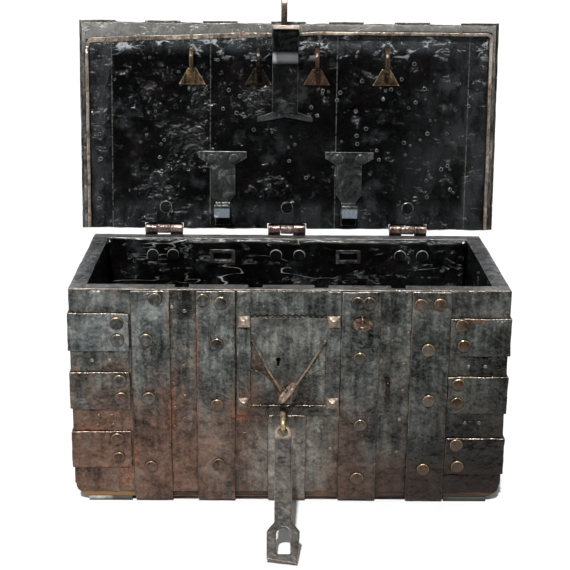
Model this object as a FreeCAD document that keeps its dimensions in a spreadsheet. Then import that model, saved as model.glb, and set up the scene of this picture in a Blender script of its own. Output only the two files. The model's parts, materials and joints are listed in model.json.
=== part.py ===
# Iron-bound oak strong chest with a hinged lid, a hasp, two rings and a sliding bolt bar.
# The front faces -Y, X runs along the chest, and the runners stand on z = 0.
import FreeCAD, Part
import math
import os
import re
from types import SimpleNamespace

from FreeCAD import Placement, Rotation, Vector

# Driving dimensions in millimetres and degrees. A share is of half the chest's width.
DRIVING = {
    # chest body
    "body_width": 870, "body_depth": 416, "body_height": 446,
    "runner_height": 10, "runner_inset": 27, "runner_gap": 3.165,
    "wall_board": 30, "floor_board": 26, "skin_thickness": 1.6, "lining_thickness": 1.4, "cap_thickness": 2.4,
    "skin_hem": 8, "worn_corner": 28, "overrun": 5,
    # straps, bands, rivets and nails
    "strap_width": 76, "strap_thickness": 4, "band_height": 79, "band_gap": 1.165,
    "far_left_share": -0.632, "left_share": -0.336, "centre_share": -0.007, "right_share": 0.322,
    "far_right_share": 0.641,
    "rivet_radius": 13, "rivet_rise": 5, "nail_radius": 4, "nail_rise": 1.6,
    "shallow_radius": 14, "shallow_rise": 3,
    # lid
    "lid_side_overhang": 23, "lid_overhang": 34, "lid_back_reach": 5, "lid_gap": 3.6, "lid_board": 22,
    "ridge_width": 7, "ridge_drop": 12, "ridge_gap": 2, "ridge_corner": 14, "ridge_rivet_radius": 4.5,
    "inner_strap_thickness": 3, "inner_strap_width": 57, "inner_strap_centre": -8, "fishtail_gap": 71,
    "fishtail_width": 122, "fishtail_length": 11, "lid_open_angle": 97.24,
    # hinges
    "hinge_width": 85, "barrel_radius": 11.5, "pin_radius": 4, "pin_clearance": 0.05,
    "knuckle_gap": 0.5, "hinge_set_back": 6, "hinge_rise": 12.5, "leaf_length": 150, "notch_side": 2,
    "notch_behind": 12,
    # lock plates on the front
    "lock_gap_left": 3.16, "lock_gap_right": 1.07, "lock_strip": 28, "lock_bar_height": 22,
    "lock_bar_drop": 264,
    "boss_width": 27, "boss_rise": 11, "boss_top": 7, "boss_offset": 4.7, "boss_drop": 64.2,
    "scallop_plate": 2.4, "scallop_height": 52, "scallop_rise": 3,
    "shield_thickness": 3, "shield_lip": 5, "shield_lip_rise": 3, "shield_top": 55,
    "shield_knee": 104, "shield_point": 221, "shield_point_half": 10, "shield_point_centre": -5,
    "lower_plate": 1.8, "lower_plate_side": 166, "lower_plate_bend": 178,
    "keyhole_centre": -22, "keyhole_drop": 146, "keyhole_radius": 5, "keyhole_slot": 13,
    "keyhole_slot_width": 5,
    # hasp and its staple
    "hasp_centre": -12, "hasp_pivot_drop": 268, "hasp_stand_off": 44, "hasp_bend": 12, "hasp_bar": 4,
    "hasp_width": 34, "hasp_thickness": 6, "hasp_hole": 9, "hasp_shoulder": 18,
    "hasp_head_width": 63, "hasp_head_length": 84, "hasp_slot_width": 26, "hasp_slot_length": 53,
    "hasp_tip": 47, "hasp_skew": 10, "hasp_floor_gap": 0.4, "rest_gap": 0.9,
    # lid bracket and padlock eye
    "bracket_width": 57, "bracket_thickness": 8, "bracket_length": 78, "bracket_edge": 6, "eye_width": 13,
    "eye_drop": 28.5, "eye_height": 44, "eye_reach": 65, "eye_bar": 9,
    # rings and fixed staple
    "ring_staple_offset": 1.93, "ring_staple_drop": 60, "ring_staple_bar": 2.5,
    "ring_staple_bend": 7.3, "ring_staple_reach": 6, "pull_ring_radius": 15.5, "pull_ring_bar": 4.5,
    "pull_ring_angle": 80, "link_centre": -5, "link_drop": 207, "link_stand_off": 11.5, "link_bar": 4,
    "link_straight": 18, "link_bend": 11.5, "link_lean": 37, "link_angle": 85, "link_staple_bar": 2.5,
    "link_staple_bend": 6.8, "side_staple_offset": 17.93, "side_staple_drop": 229,
    "side_staple_height": 43, "side_staple_bar": 3.5, "side_staple_reach": 20,
    # bolt work inside the front wall
    "bolt_staple_bar": 9, "bolt_staple_length": 54, "bolt_staple_drop": 40, "bolt_staple_set_back": 40,
    "bolt_foot_width": 60, "bolt_foot_length": 36, "bolt_foot_thickness": 3, "notch_width": 29,
    "notch_depth": 18, "notch_floor": 4, "bolt_bar_height": 16, "bolt_bar_depth": 10, "bolt_gap": 8,
    "bolt_wall_gap": 4, "prong_height": 12, "prong_length": 36, "prong_post": 10, "prong_rise": 14,
    "bolt_travel": 24, "guide_width": 20, "guide_wall": 4, "guide_clearance": 0.4,
    "case_width": 150, "case_height": 104, "case_depth": 30, "case_wall": 2, "key_pin_radius": 3,
    "key_pin_length": 24, "tail_width": 16, "tail_thickness": 5, "tail_length": 40, "spring_thickness": 1.6,
    "spring_width": 8, "spring_length": 44,
    "staple_gap_left": 1.4, "staple_gap_right": 10.8, "guide_offset": 34.6,
    "outer_staple_left_share": -0.492, "outer_staple_right_share": 0.494,
    # rear hooks of the lid and their catches
    "hook_thickness": 3, "hook_top_width": 108, "hook_neck_width": 56, "hook_tab_width": 34,
    "hook_top_start": 144, "hook_top_end": 174, "hook_neck_start": 62, "hook_tab_start": 8,
    "hook_arm_start": 48, "hook_arm_thickness": 10, "hook_drop": 52, "hook_lip": 18, "hook_lip_thickness": 8,
    "hook_rivet_radius": 11, "hook_rivet_rise": 6, "hook_rivet_pitch": 50, "mortise_width": 40,
    "mortise_depth": 12, "mortise_below": 2, "mortise_above": 6, "catch_border": 8, "catch_thickness": 1.5,
}

# Sizes that follow from the driving ones
DERIVED = {
    "body_x": "body_width / 2", "body_y": "body_depth / 2",
    "rim": "runner_height + body_height", "wall_top": "rim - cap_thickness",
    "board_x": "body_x - skin_thickness", "board_y": "body_y - skin_thickness",
    "board_low": "runner_height + skin_thickness",
    "inner_x": "board_x - wall_board", "inner_y": "board_y - wall_board",
    "inside_x": "inner_x - lining_thickness", "inside_y": "inner_y - lining_thickness",
    "floor_top": "board_low + floor_board", "inside_low": "floor_top + lining_thickness",
    "strap_y": "body_y + strap_thickness", "strap_low": "runner_height - strap_thickness",
    "far_edge": "far_right_share * body_x + strap_width / 2",
    "band_x": "far_edge + band_gap", "runner_x": "far_edge + runner_gap",
    "lock_left": "left_share * body_x + strap_width / 2 + lock_gap_left",
    "lock_right": "right_share * body_x - strap_width / 2 - lock_gap_right",
    "lock_bar_low": "rim - lock_bar_drop", "lock_bar_top": "lock_bar_low + lock_bar_height",
    "hinge_y": "body_y + hinge_set_back", "hinge_z": "rim + hinge_rise",
    "knuckle": "(hinge_width - 2 * knuckle_gap) / 3",
    "lid_x": "body_x + lid_side_overhang", "lid_front": "body_y + lid_overhang",
    "lid_back": "body_y + lid_back_reach",
    "lid_low": "rim + lid_gap", "lid_board_low": "lid_low + lining_thickness",
    "lid_board_top": "lid_board_low + lid_board", "lid_top": "lid_board_top + skin_thickness",
    "lid_strap_top": "lid_top + strap_thickness",
    "ridge_x": "body_x + strap_thickness + ridge_gap", "ridge_y": "strap_y + ridge_gap",
    "ridge_out_x": "ridge_x + ridge_width", "ridge_out_y": "ridge_y + ridge_width",
    "hasp_z": "rim - hasp_pivot_drop", "hasp_y": "body_y + hasp_stand_off",
    "hasp_hang": "hasp_bend + hasp_hole - hasp_bar - rest_gap", "eye_level": "lid_low - eye_drop",
    "hasp_slot_centre": "eye_level - hasp_z - hasp_hang", "hasp_length": "hasp_slot_centre + hasp_tip",
    "hasp_neck_end": "hasp_length - hasp_head_length",
    "bracket_y": "lid_front - bracket_edge - bracket_thickness",
    "bolt_staple_start": "inside_y - bolt_staple_set_back",
    "notch_low": "lid_low - bolt_staple_drop - notch_floor",
    "bolt_top": "lid_low - bolt_staple_drop - bolt_gap", "bolt_low": "bolt_top - bolt_bar_height",
    "bolt_back": "inside_y - bolt_wall_gap", "bolt_face": "bolt_back - bolt_bar_depth",
    "prong_low": "bolt_top + prong_rise + bolt_gap", "prong_top": "prong_low + prong_height",
    "hook_low": "lid_low - hook_drop", "hook_lip_top": "hook_low + hook_lip_thickness",
    "ring_staple_x": "right_share * body_x + ring_staple_offset", "ring_staple_z": "rim - ring_staple_drop",
    "side_staple_x": "right_share * body_x + strap_width / 2 + side_staple_offset",
    "bolt_foot_end": "bolt_foot_length - bolt_staple_bar - bolt_staple_start",
    "inner_strap_end": "bolt_foot_end + fishtail_gap + fishtail_length",
    "inner_reach": "(inner_strap_width + bolt_foot_width) / 2",
    "bolt_staple_far_left": "outer_staple_left_share * body_x",
    "bolt_staple_left": "inner_strap_centre - inner_reach - staple_gap_left",
    "bolt_staple_right": "inner_strap_centre + inner_reach + staple_gap_right",
    "bolt_staple_far_right": "outer_staple_right_share * body_x",
}

# Places across the chest, as shares of half its width
STRAPS = ("far_left", "left", "centre", "right", "far_right")
HINGE_SHARES = (-0.641, -0.004, 0.626)
BOLT_STAPLES = ("bolt_staple_far_left", "bolt_staple_left", "bolt_staple_right", "bolt_staple_far_right")
HOOK_SHARES = (-0.337, 0.314)
LID_STRAP_SHARES = (-0.349, 0.289)
# Lower edges of the end bands, as shares of the body's height
BAND_SHARES = {-1: (0.148, 0.433, 0.711), 1: (0.121, 0.419, 0.695)}

doc = FreeCAD.newDocument("strong_chest")
sheet = doc.addObject("Spreadsheet::Sheet", "Sizes")
for row, (name, value) in enumerate({**DRIVING, **DERIVED}.items(), start=1):
    cell = f"B{row}"
    sheet.set(f"A{row}", name)
    sheet.set(cell, f"={value}" if name in DERIVED else str(value))
    sheet.setAlias(cell, name)
doc.recompute()
known = set(DRIVING) | set(DERIVED)
v = SimpleNamespace(**{name: float(sheet.get(name)) for name in known})
pieces = []


# Binds a property to a formula written with the sheet's names
def bind(obj, prop, formula):
    obj.setExpression(prop, re.sub(r"[a-z]\w*", lambda word: "Sizes." + word.group(), str(formula)))


# A box between pairs of faces, each given as a formula
def block(x, y, z):
    box = doc.addObject("Part::Box", "Block")
    for prop, axis, (low, high) in (("Length", "x", x), ("Width", "y", y), ("Height", "z", z)):
        bind(box, prop, f"({high}) - ({low})")
        bind(box, "Placement.Base." + axis, low)
    return box


TURNS = {"x": Rotation(Vector(0, 1, 0), 90), "y": Rotation(Vector(1, 0, 0), -90), "z": Rotation()}


# A round bar along the axis whose place is a pair of formulas
def rod(radius, **places):
    bar = doc.addObject("Part::Cylinder", "Rod")
    bind(bar, "Radius", radius)
    for axis, place in places.items():
        if isinstance(place, tuple):
            bar.Placement = Placement(Vector(), TURNS[axis])
            bind(bar, "Height", f"({place[1]}) - ({place[0]})")
    for axis, place in places.items():
        bind(bar, "Placement.Base." + axis, place[0] if isinstance(place, tuple) else place)
    return bar


def fuse(*parts):
    if len(parts) == 1:
        return parts[0]
    whole = doc.addObject("Part::MultiFuse", "Fuse")
    whole.Shapes = list(parts)
    whole.Refine = True
    return whole


def cut(base, *tools):
    rest = doc.addObject("Part::Cut", "Cut")
    rest.Base = base
    rest.Tool = fuse(*tools)
    rest.Refine = True
    return rest


def group(*parts):
    several = doc.addObject("Part::Compound", "Group")
    several.Links = list(parts)
    return several


def formed(shape):
    feature = doc.addObject("Part::Feature", "Formed")
    feature.Shape = shape
    return feature


def node(name, obj, placement=None):
    obj.Label = name
    if placement:
        obj.Placement = placement
    pieces.append(obj)


# Both ends of the chest: the pair of faces at the side where side is -1 or 1
def at_side(side, near, far):
    return (near, far) if side > 0 else (f"-({far})", f"-({near})")


def across(share, width):
    return (f"{share} * body_x - {width} / 2", f"{share} * body_x + {width} / 2")


def centred(centre, width):
    return (f"{centre} - {width} / 2", f"{centre} + {width} / 2")


# A closed outline of straight runs, made a plate between two levels along Y
def plate_y(points, back, thick):
    wire = Part.makePolygon([Vector(x, back, z) for x, z in points + points[:1]])
    return Part.Face(wire).extrude(Vector(0, -thick, 0))


def plate_z(points, top, thick):
    wire = Part.makePolygon([Vector(x, y, top) for x, y in points + points[:1]])
    return Part.Face(wire).extrude(Vector(0, 0, -thick))


# A low dome standing on a surface
def dome(radius, rise, foot, normal):
    ball = (radius ** 2 + rise ** 2) / (2 * rise)
    cap = Part.makeSphere(ball, Vector(0, 0, rise - ball), Vector(0, 0, 1), math.degrees(
        math.asin((ball - rise) / ball)), 90, 360)
    cap.Placement = Placement(Vector(*foot), Rotation(Vector(0, 0, 1), Vector(*normal)))
    return cap


# A round bar bent along straight runs and arcs, given as edges in one plane
def bent_bar(edges, radius):
    path = Part.Wire(edges)
    start = path.Edges[0]
    point = start.valueAt(start.FirstParameter)
    heading = start.tangentAt(start.FirstParameter)
    section = Part.Wire([Part.makeCircle(radius, point, heading)])
    return path.makePipeShell([section], True, True)


# A U staple in the YZ plane whose legs stand on the face at foot_y
def staple_yz(x, foot_y, z, reach, bend, bar):
    y = foot_y - reach
    upper = Part.makeLine(Vector(x, foot_y, z + bend), Vector(x, y, z + bend))
    turn = Part.Arc(Vector(x, y, z + bend), Vector(x, y - bend, z), Vector(x, y, z - bend)).toShape()
    lower = Part.makeLine(Vector(x, y, z - bend), Vector(x, foot_y, z - bend))
    return bent_bar([upper, turn, lower], bar)


# The lid's pieces are set out closed and then turned open about the hinge axis
lid_open = Placement(Vector(), Rotation(Vector(1, 0, 0), -v.lid_open_angle), Vector(0, v.hinge_y, v.hinge_z))

# Oak boards
corners = fuse(*[
    cut(block(at_side(side, "board_x - worn_corner", "board_x + overrun"),
              ("-board_y - overrun", "board_y + overrun"),
              ("board_low - overrun", "board_low + worn_corner")),
        rod("worn_corner", x=f"{side} * (board_x - worn_corner)", z="board_low + worn_corner",
            y=("-board_y - 2 * overrun", "board_y + 2 * overrun")))
    for side in (-1, 1)])
notches = fuse(*[
    block(centred(place, "notch_width"), ("-inside_y - notch_depth", "-inside_y + overrun"),
          ("notch_low", "rim + overrun")) for place in BOLT_STAPLES])
keyhole = fuse(
    rod("keyhole_radius", x="keyhole_centre", z="rim - keyhole_drop",
        y=("-strap_y - overrun", "-inside_y + overrun")),
    block(centred("keyhole_centre", "keyhole_slot_width"), ("-strap_y - overrun", "-inside_y + overrun"),
          ("rim - keyhole_drop - keyhole_slot", "rim - keyhole_drop")))
mortises = fuse(*[
    block(across(share, "mortise_width"), ("inside_y - overrun", "inside_y + mortise_depth"),
          ("hook_low - mortise_below", "hook_lip_top + mortise_above")) for share in HOOK_SHARES])

node("oak_front", cut(block(("-board_x", "board_x"), ("-board_y", "-inner_y"), ("board_low", "wall_top")),
                      corners, notches, keyhole))
node("oak_back", cut(block(("-board_x", "board_x"), ("inner_y", "board_y"), ("board_low", "wall_top")),
                     corners, mortises))
for side, name in ((-1, "oak_left"), (1, "oak_right")):
    node(name, cut(block(at_side(side, "inner_x", "board_x"), ("-inner_y", "inner_y"),
                         ("board_low", "wall_top")), corners))
node("oak_bottom", block(("-inner_x", "inner_x"), ("-inner_y", "inner_y"), ("board_low", "floor_top")))
node("runners", group(*[
    block(at_side(side, "runner_x", "body_x - runner_inset"),
          ("-board_y", "board_y"), ("0", "runner_height")) for side in (-1, 1)]))

# Outer sheets, lining and rim cap
node("cladding_front", cut(block(("-body_x", "body_x"), ("-body_y", "-board_y"),
                                 ("board_low + skin_hem", "wall_top")), corners, keyhole))
node("cladding_back", cut(block(("-body_x", "body_x"), ("board_y", "body_y"),
                                ("board_low + skin_hem", "wall_top")), corners))
node("cladding_ends", group(*[
    block(at_side(side, "board_x", "body_x"), ("-board_y", "board_y"),
          ("board_low + worn_corner", "wall_top")) for side in (-1, 1)]))
node("cladding_bottom", block(("-board_x + worn_corner", "board_x - worn_corner"), ("-board_y", "board_y"),
                              ("runner_height", "board_low")))
node("lining_walls", group(
    cut(block(("-inner_x", "inner_x"), ("-inner_y", "-inside_y"), ("floor_top", "wall_top")),
        notches, keyhole),
    cut(block(("-inner_x", "inner_x"), ("inside_y", "inner_y"), ("floor_top", "wall_top")), mortises),
    *[block(at_side(side, "inside_x", "inner_x"), ("-inside_y", "inside_y"), ("floor_top", "wall_top"))
      for side in (-1, 1)]))
node("lining_floor", block(("-inside_x", "inside_x"), ("-inside_y", "inside_y"), ("floor_top", "inside_low")))
node("rim_cap", cut(block(("-body_x", "body_x"), ("-body_y", "body_y"), ("wall_top", "rim")),
                    block(("-inside_x", "inside_x"), ("-inside_y", "inside_y"),
                          ("wall_top - overrun", "rim + overrun")), notches))

# Straps run down the front, under the bottom and up the back
for name in STRAPS:
    share = name + "_share"
    hinged = name in ("far_left", "centre", "far_right")
    wide = across(share, "strap_width")
    beyond = across(share, "(strap_width + 2 * overrun)")
    trims = [block(beyond, ("-body_y", "body_y"), ("runner_height", "wall_top + overrun"))]
    if name == "centre":
        trims.append(block(beyond, ("-strap_y - overrun", "0"), ("lock_bar_low", "wall_top + overrun")))
    if hinged:
        trims.append(block(beyond, ("0", "strap_y + overrun"),
                           ("wall_top - leaf_length", "wall_top + overrun")))
    node("strap_" + name, cut(block(wide, ("-strap_y", "strap_y"), ("strap_low", "wall_top")), *trims))

# Bands lap round both ends
for side, end in ((-1, "left"), (1, "right")):
    for share, level in zip(BAND_SHARES[side], ("low", "middle", "high")):
        low = f"runner_height + {share} * body_height"
        height = (low, low + " + band_height")
        node(f"band_{end}_{level}", cut(
            block(at_side(side, "band_x", "body_x + strap_thickness"), ("-strap_y", "strap_y"), height),
            block(at_side(side, "band_x - overrun", "body_x"), ("-body_y", "body_y"),
                  (height[0] + " - overrun", height[1] + " + overrun"))))

# Big rivets: front places as (share of half width, share of body height), and those of the bands, from
# the lowest band up, as (share of half width, share of band height)
FRONT_RIVET_SHARES = (
    (-0.611, 0.958), (-0.653, 0.767), (-0.646, 0.489), (-0.641, 0.155),
    (-0.395, 0.955), (-0.313, 0.942), (-0.333, 0.747), (-0.333, 0.457), (-0.326, 0.166),
    (0.305, 0.944), (0.357, 0.944), (0.322, 0.684), (0.331, 0.363), (0.322, 0.099),
    (0.591, 0.937), (0.678, 0.939), (0.632, 0.726), (0.644, 0.482), (0.632, 0.146))
BAND_RIVET_SHARES = {
    -1: (((-0.795, 0.796), (-0.791, 0.277)), ((-0.777, 0.785), (-0.772, 0.316)),
         ((-0.784, 0.757), (-0.782, 0.305))),
    1: (((0.782, 0.824), (0.791, 0.226)), ((0.779, 0.802), (0.775, 0.294)), ((0.782, 0.83), (0.793, 0.294)))}
END_RIVET_SHARES = (-0.78, -0.28, 0.28, 0.78)
BACK_RIVET_SHARES = (0.12, 0.36, 0.6, 0.93)
rivets = []
for share_x, share_z in FRONT_RIVET_SHARES:
    foot = (share_x * v.body_x, -v.strap_y, v.runner_height + share_z * v.body_height)
    rivets.append(dome(v.rivet_radius, v.rivet_rise, foot, (0, -1, 0)))
for side, bands in BAND_RIVET_SHARES.items():
    for low_share, pair in zip(BAND_SHARES[side], bands):
        for share_x, share_z in pair:
            level = v.runner_height + low_share * v.body_height + share_z * v.band_height
            for front in (-1, 1):
                foot = (share_x * v.body_x, front * v.strap_y, level)
                rivets.append(dome(v.rivet_radius, v.rivet_rise, foot, (0, front, 0)))
for name in STRAPS:
    for share_z in BACK_RIVET_SHARES:
        foot = (getattr(v, name + "_share") * v.body_x, v.strap_y, v.runner_height + share_z * v.body_height)
        rivets.append(dome(v.rivet_radius, v.rivet_rise, foot, (0, 1, 0)))
for side, shares in BAND_SHARES.items():
    for share_z in shares:
        for share_y in END_RIVET_SHARES:
            foot = (side * (v.body_x + v.strap_thickness), share_y * v.body_y,
                    v.runner_height + share_z * v.body_height + v.band_height / 2)
            rivets.append(dome(v.rivet_radius, v.rivet_rise, foot, (side, 0, 0)))
node("outer_rivets", formed(Part.makeCompound(rivets)))

# Small nails of the front sheets, as shares of the clear width and height of the field that they are in
LEFT_NAILS = (
    (0.013, 0.926), (0.568, 0.907), (0.150, 0.732), (0.501, 0.644), (0.043, 0.557), (0.548, 0.493),
    (0.101, 0.436), (0.519, 0.381), (0.063, 0.342), (0.568, 0.242), (0.150, 0.178), (0.501, 0.121))
RIGHT_NAILS = ((0.933, 0.916), (0.964, 0.807), (0.837, 0.655), (0.837, 0.525), (0.751, 0.386), (0.687, 0.221))


def strap_edge(name, side):
    return getattr(v, name + "_share") * v.body_x + side * v.strap_width / 2


def between_bands(side, lower):
    low, high = (v.runner_height + share * v.body_height for share in BAND_SHARES[side][lower:lower + 2])
    return low + v.band_height, high


whole = (v.runner_height, v.rim)
under_lock = (v.runner_height, v.lock_bar_low)
left_end = (-v.body_x, strap_edge("far_left", -1))
right_end = (strap_edge("far_right", 1), v.body_x)
NAIL_FIELDS = (
    ((strap_edge("far_left", 1), strap_edge("left", -1)), whole, LEFT_NAILS),
    ((strap_edge("right", 1), strap_edge("far_right", -1)), whole, RIGHT_NAILS),
    ((strap_edge("left", 1), strap_edge("centre", -1)), under_lock, ((0.253, 0.784), (0.658, 0.720))),
    ((strap_edge("centre", 1), strap_edge("right", -1)), under_lock, ((0.371, 0.823), (0.775, 0.592))),
    (left_end, between_bands(-1, 0),
     ((0.137, 0.2), (0.422, 0.71), (0.400, 0.2), (0.659, 0.71), (0.674, 0.2))),
    (left_end, between_bands(-1, 1), ((0.346, 0.557), (0.651, 0.557))),
    (right_end, between_bands(1, 0), ((0.583, 0.628), (0.326, 0.628))),
    (right_end, between_bands(1, 1), ((0.642, 0.492), (0.326, 0.492))))
nails = []
for (west, east), (low, high), shares in NAIL_FIELDS:
    for share_x, share_z in shares:
        foot = (west + v.nail_radius + share_x * (east - west - 2 * v.nail_radius), -v.body_y,
                low + v.nail_radius + share_z * (high - low - 2 * v.nail_radius))
        nails.append(dome(v.nail_radius, v.nail_rise, foot, (0, -1, 0)))
node("outer_nails", formed(Part.makeCompound(nails)))

# Shallow inner rivets of the hinge leaves
LINING_RIVET_SHARES = (-0.695, -0.592, -0.060, 0.060, 0.582, 0.697)
LINING_RIVET_LEVEL_SHARE = 0.912
node("lining_rivets", formed(Part.makeCompound([
    dome(v.shallow_radius, v.shallow_rise,
         (x * v.body_x, v.inside_y, v.runner_height + LINING_RIVET_LEVEL_SHARE * v.body_height), (0, -1, 0))
    for x in LINING_RIVET_SHARES])))

# Lock frame, bosses and plates on the front
node("lock_frame", fuse(
    block(("lock_left", "lock_left + lock_strip"), ("-strap_y", "-body_y"), ("lock_bar_low", "wall_top")),
    block(("lock_right - lock_strip", "lock_right"), ("-strap_y", "-body_y"), ("lock_bar_low", "wall_top")),
    block(("lock_left", "lock_right"), ("-strap_y", "-body_y"), ("lock_bar_low", "lock_bar_top"))))
bosses = []
for centre in (v.lock_left + v.lock_strip / 2, v.lock_right - v.lock_strip / 2):
    for level in (v.lock_bar_top + v.boss_offset, v.rim - v.boss_drop):
        half, top = v.boss_width / 2, v.boss_top / 2
        boss = Part.makeWedge(-half, 0, -half, -top, -top, half, v.boss_rise, half, top, top)
        boss.Placement = Placement(Vector(centre, -v.strap_y, level), Rotation(Vector(0, 0, 1), 180))
        bosses.append(boss)
node("corner_bosses", formed(Part.makeCompound(bosses)))

lock_west = v.lock_left + v.lock_strip
lock_east = v.lock_right - v.lock_strip
SCALLOPS = 14


# Upper plate with a scalloped lower edge
def scalloped_plate():
    pitch = (lock_east - lock_west) / SCALLOPS
    low = v.wall_top - v.scallop_height
    edges = []
    for index in range(SCALLOPS):
        west = lock_west + index * pitch
        points = [Vector(x, -v.body_y, z) for x, z in
                  ((west, low), (west + pitch / 2, low - v.scallop_rise), (west + pitch, low))]
        edges.append(Part.Arc(*points).toShape())
    frame = [Vector(x, -v.body_y, z) for x, z in
             ((lock_east, low), (lock_east, v.wall_top), (lock_west, v.wall_top), (lock_west, low))]
    edges += [Part.makeLine(a, b) for a, b in zip(frame, frame[1:])]
    return Part.Face(Part.Wire(edges)).extrude(Vector(0, -v.scallop_plate, 0))


node("scalloped_plate", formed(scalloped_plate()))


# V-shaped shield with raised lips along its two long edges
def shield():
    middle = v.shield_point_centre
    top = v.rim - v.shield_top - v.scallop_rise
    knee, point = v.rim - v.shield_knee, v.rim - v.shield_point
    outline = [(lock_west, top), (lock_east, top), (lock_east, knee), (middle + v.shield_point_half, point),
               (middle - v.shield_point_half, point), (lock_west, knee)]
    body = plate_y(outline, -v.body_y, v.shield_thickness)
    for side, corner in ((-1, lock_west), (1, lock_east)):
        low = (middle + side * v.shield_point_half, point)
        lip = plate_y([(corner, knee), low, (low[0] - side * v.shield_lip, low[1]),
                       (corner - side * v.shield_lip, knee)], -v.body_y,
                      v.shield_thickness + v.shield_lip_rise)
        body = body.fuse(lip)
    return body.removeSplitter()


node("shield_plate", cut(formed(shield()), keyhole))


# Lower lock plates with hollow upper edges
def lower_plate(side, corner):
    near = v.shield_point_centre + side * 2 * v.shield_point_half
    low = v.lock_bar_top
    high = v.rim - v.lower_plate_side
    bend = Vector((corner + near) / 2, -v.body_y, v.rim - v.lower_plate_bend)
    tip = v.rim - v.shield_point
    ends = [Vector(corner, -v.body_y, high), Vector(near, -v.body_y, tip)]
    curve = Part.Arc(ends[0], bend, ends[1]).toShape()
    frame = [ends[1], Vector(near, -v.body_y, low), Vector(corner, -v.body_y, low), ends[0]]
    edges = [curve] + [Part.makeLine(a, b) for a, b in zip(frame, frame[1:])]
    return Part.Face(Part.Wire(edges)).extrude(Vector(0, -v.lower_plate, 0))


node("lower_lock_plates", formed(Part.makeCompound([lower_plate(-1, lock_west), lower_plate(1, lock_east)])))

# Fixed staples on the front
node("hasp_staple", formed(staple_yz(v.hasp_centre, -v.strap_y, v.hasp_z,
                                     v.hasp_y - v.strap_y, v.hasp_bend, v.hasp_bar)))
ring_y = -v.strap_y - v.ring_staple_reach
node("ring_staple", formed(staple_yz(v.ring_staple_x, -v.strap_y, v.ring_staple_z, v.ring_staple_reach,
                                     v.ring_staple_bend, v.ring_staple_bar)))


# Fixed staple with square bends beside the right strap
def side_staple():
    x, foot = v.side_staple_x, -v.body_y
    low = v.rim - v.side_staple_drop
    high, out = low + v.side_staple_height, foot - v.side_staple_reach
    bend = 2 * v.side_staple_bar
    slant = bend * (1 - math.sqrt(0.5))
    edges = [
        Part.makeLine(Vector(x, foot, high), Vector(x, out + bend, high)),
        Part.Arc(Vector(x, out + bend, high), Vector(x, out + slant, high - slant),
                 Vector(x, out, high - bend)).toShape(),
        Part.makeLine(Vector(x, out, high - bend), Vector(x, out, low + bend)),
        Part.Arc(Vector(x, out, low + bend), Vector(x, out + slant, low + slant),
                 Vector(x, out + bend, low)).toShape(),
        Part.makeLine(Vector(x, out + bend, low), Vector(x, foot, low))]
    return bent_bar(edges, v.side_staple_bar)


node("side_staple", formed(side_staple()))

# The oval link hangs on a line that leans in the plane of the front
link_eye = Vector(v.link_centre, -v.body_y - v.link_stand_off, v.rim - v.link_drop)
link_line = Vector(math.sin(math.radians(v.link_lean)), 0, math.cos(math.radians(v.link_lean)))


# Staple of the link: a U whose legs stand square to the link's line
def link_staple():
    cross = Vector(link_line.z, 0, -link_line.x)
    foot = -v.body_y - v.shield_thickness
    upper, lower = (link_eye + cross * bend for bend in (-v.link_staple_bend, v.link_staple_bend))
    outer = link_eye - Vector(0, v.link_staple_bend, 0)
    edges = [Part.makeLine(Vector(upper.x, foot, upper.z), upper), Part.Arc(upper, outer, lower).toShape(),
             Part.makeLine(lower, Vector(lower.x, foot, lower.z))]
    return bent_bar(edges, v.link_staple_bar)


node("link_staple", formed(link_staple()))

# Catches round the mortises in the back wall
node("hook_catches", group(*[
    cut(block(across(share, "(mortise_width + 2 * catch_border)"), ("inside_y - catch_thickness", "inside_y"),
              ("hook_low - mortise_below - catch_border", "hook_lip_top + mortise_above + catch_border")),
        mortises) for share in HOOK_SHARES]))


# Hinge leaves with two outer knuckles each, and their pins
def hinge_leaf(share):
    centre = f"{share} * body_x"
    solids = [block(across(share, "strap_width"), ("body_y", "strap_y"),
                    ("wall_top - leaf_length", "wall_top"))]
    for low, high in ((f"{centre} - hinge_width / 2", f"{centre} - hinge_width / 2 + knuckle"),
                      (f"{centre} + hinge_width / 2 - knuckle", f"{centre} + hinge_width / 2")):
        solids.append(block((low, high), ("body_y", "strap_y"), ("wall_top - barrel_radius", "hinge_z")))
        solids.append(rod("barrel_radius", x=(low, high), y="hinge_y", z="hinge_z"))
    bore = rod("pin_radius + pin_clearance", x=(f"{centre} - hinge_width", f"{centre} + hinge_width"),
               y="hinge_y", z="hinge_z")
    return cut(fuse(*solids), bore)


node("hinge_leaves", group(*[hinge_leaf(share) for share in HINGE_SHARES]))
node("hinge_pins", group(*[
    rod("pin_radius", x=across(share, "hinge_width"), y="hinge_y", z="hinge_z") for share in HINGE_SHARES]))

# Lock case, guides and spring behind the front wall
case_x = centred("keyhole_centre", "case_width")
case_top, case_low = "bolt_low - guide_wall", "bolt_low - guide_wall - case_height"
tail_x = centred("keyhole_centre", "tail_width")
node("lock_case", fuse(
    cut(block(case_x, ("-inside_y", "-inside_y + case_depth"), (case_low, case_top)),
        block((case_x[0] + " + case_wall", case_x[1] + " - case_wall"),
              ("-inside_y - overrun", "-inside_y + case_depth - case_wall"),
              (case_low + " + case_wall", case_top + " - case_wall")),
        block((tail_x[0] + " - guide_wall", tail_x[1] + " + bolt_travel + guide_wall"),
              ("-inside_y - overrun", "-bolt_face + overrun"), (case_top + " - 2 * case_wall",
                                                                case_top + " + overrun"))),
    rod("key_pin_radius", x="keyhole_centre", z="rim - keyhole_drop",
        y=("-inside_y + case_depth - key_pin_length", "-inside_y + case_depth - case_wall"))))
GUIDES = ("(bolt_staple_far_left + bolt_staple_left) / 2", "keyhole_centre - guide_offset",
          "(bolt_staple_right + bolt_staple_far_right) / 2")
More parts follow.
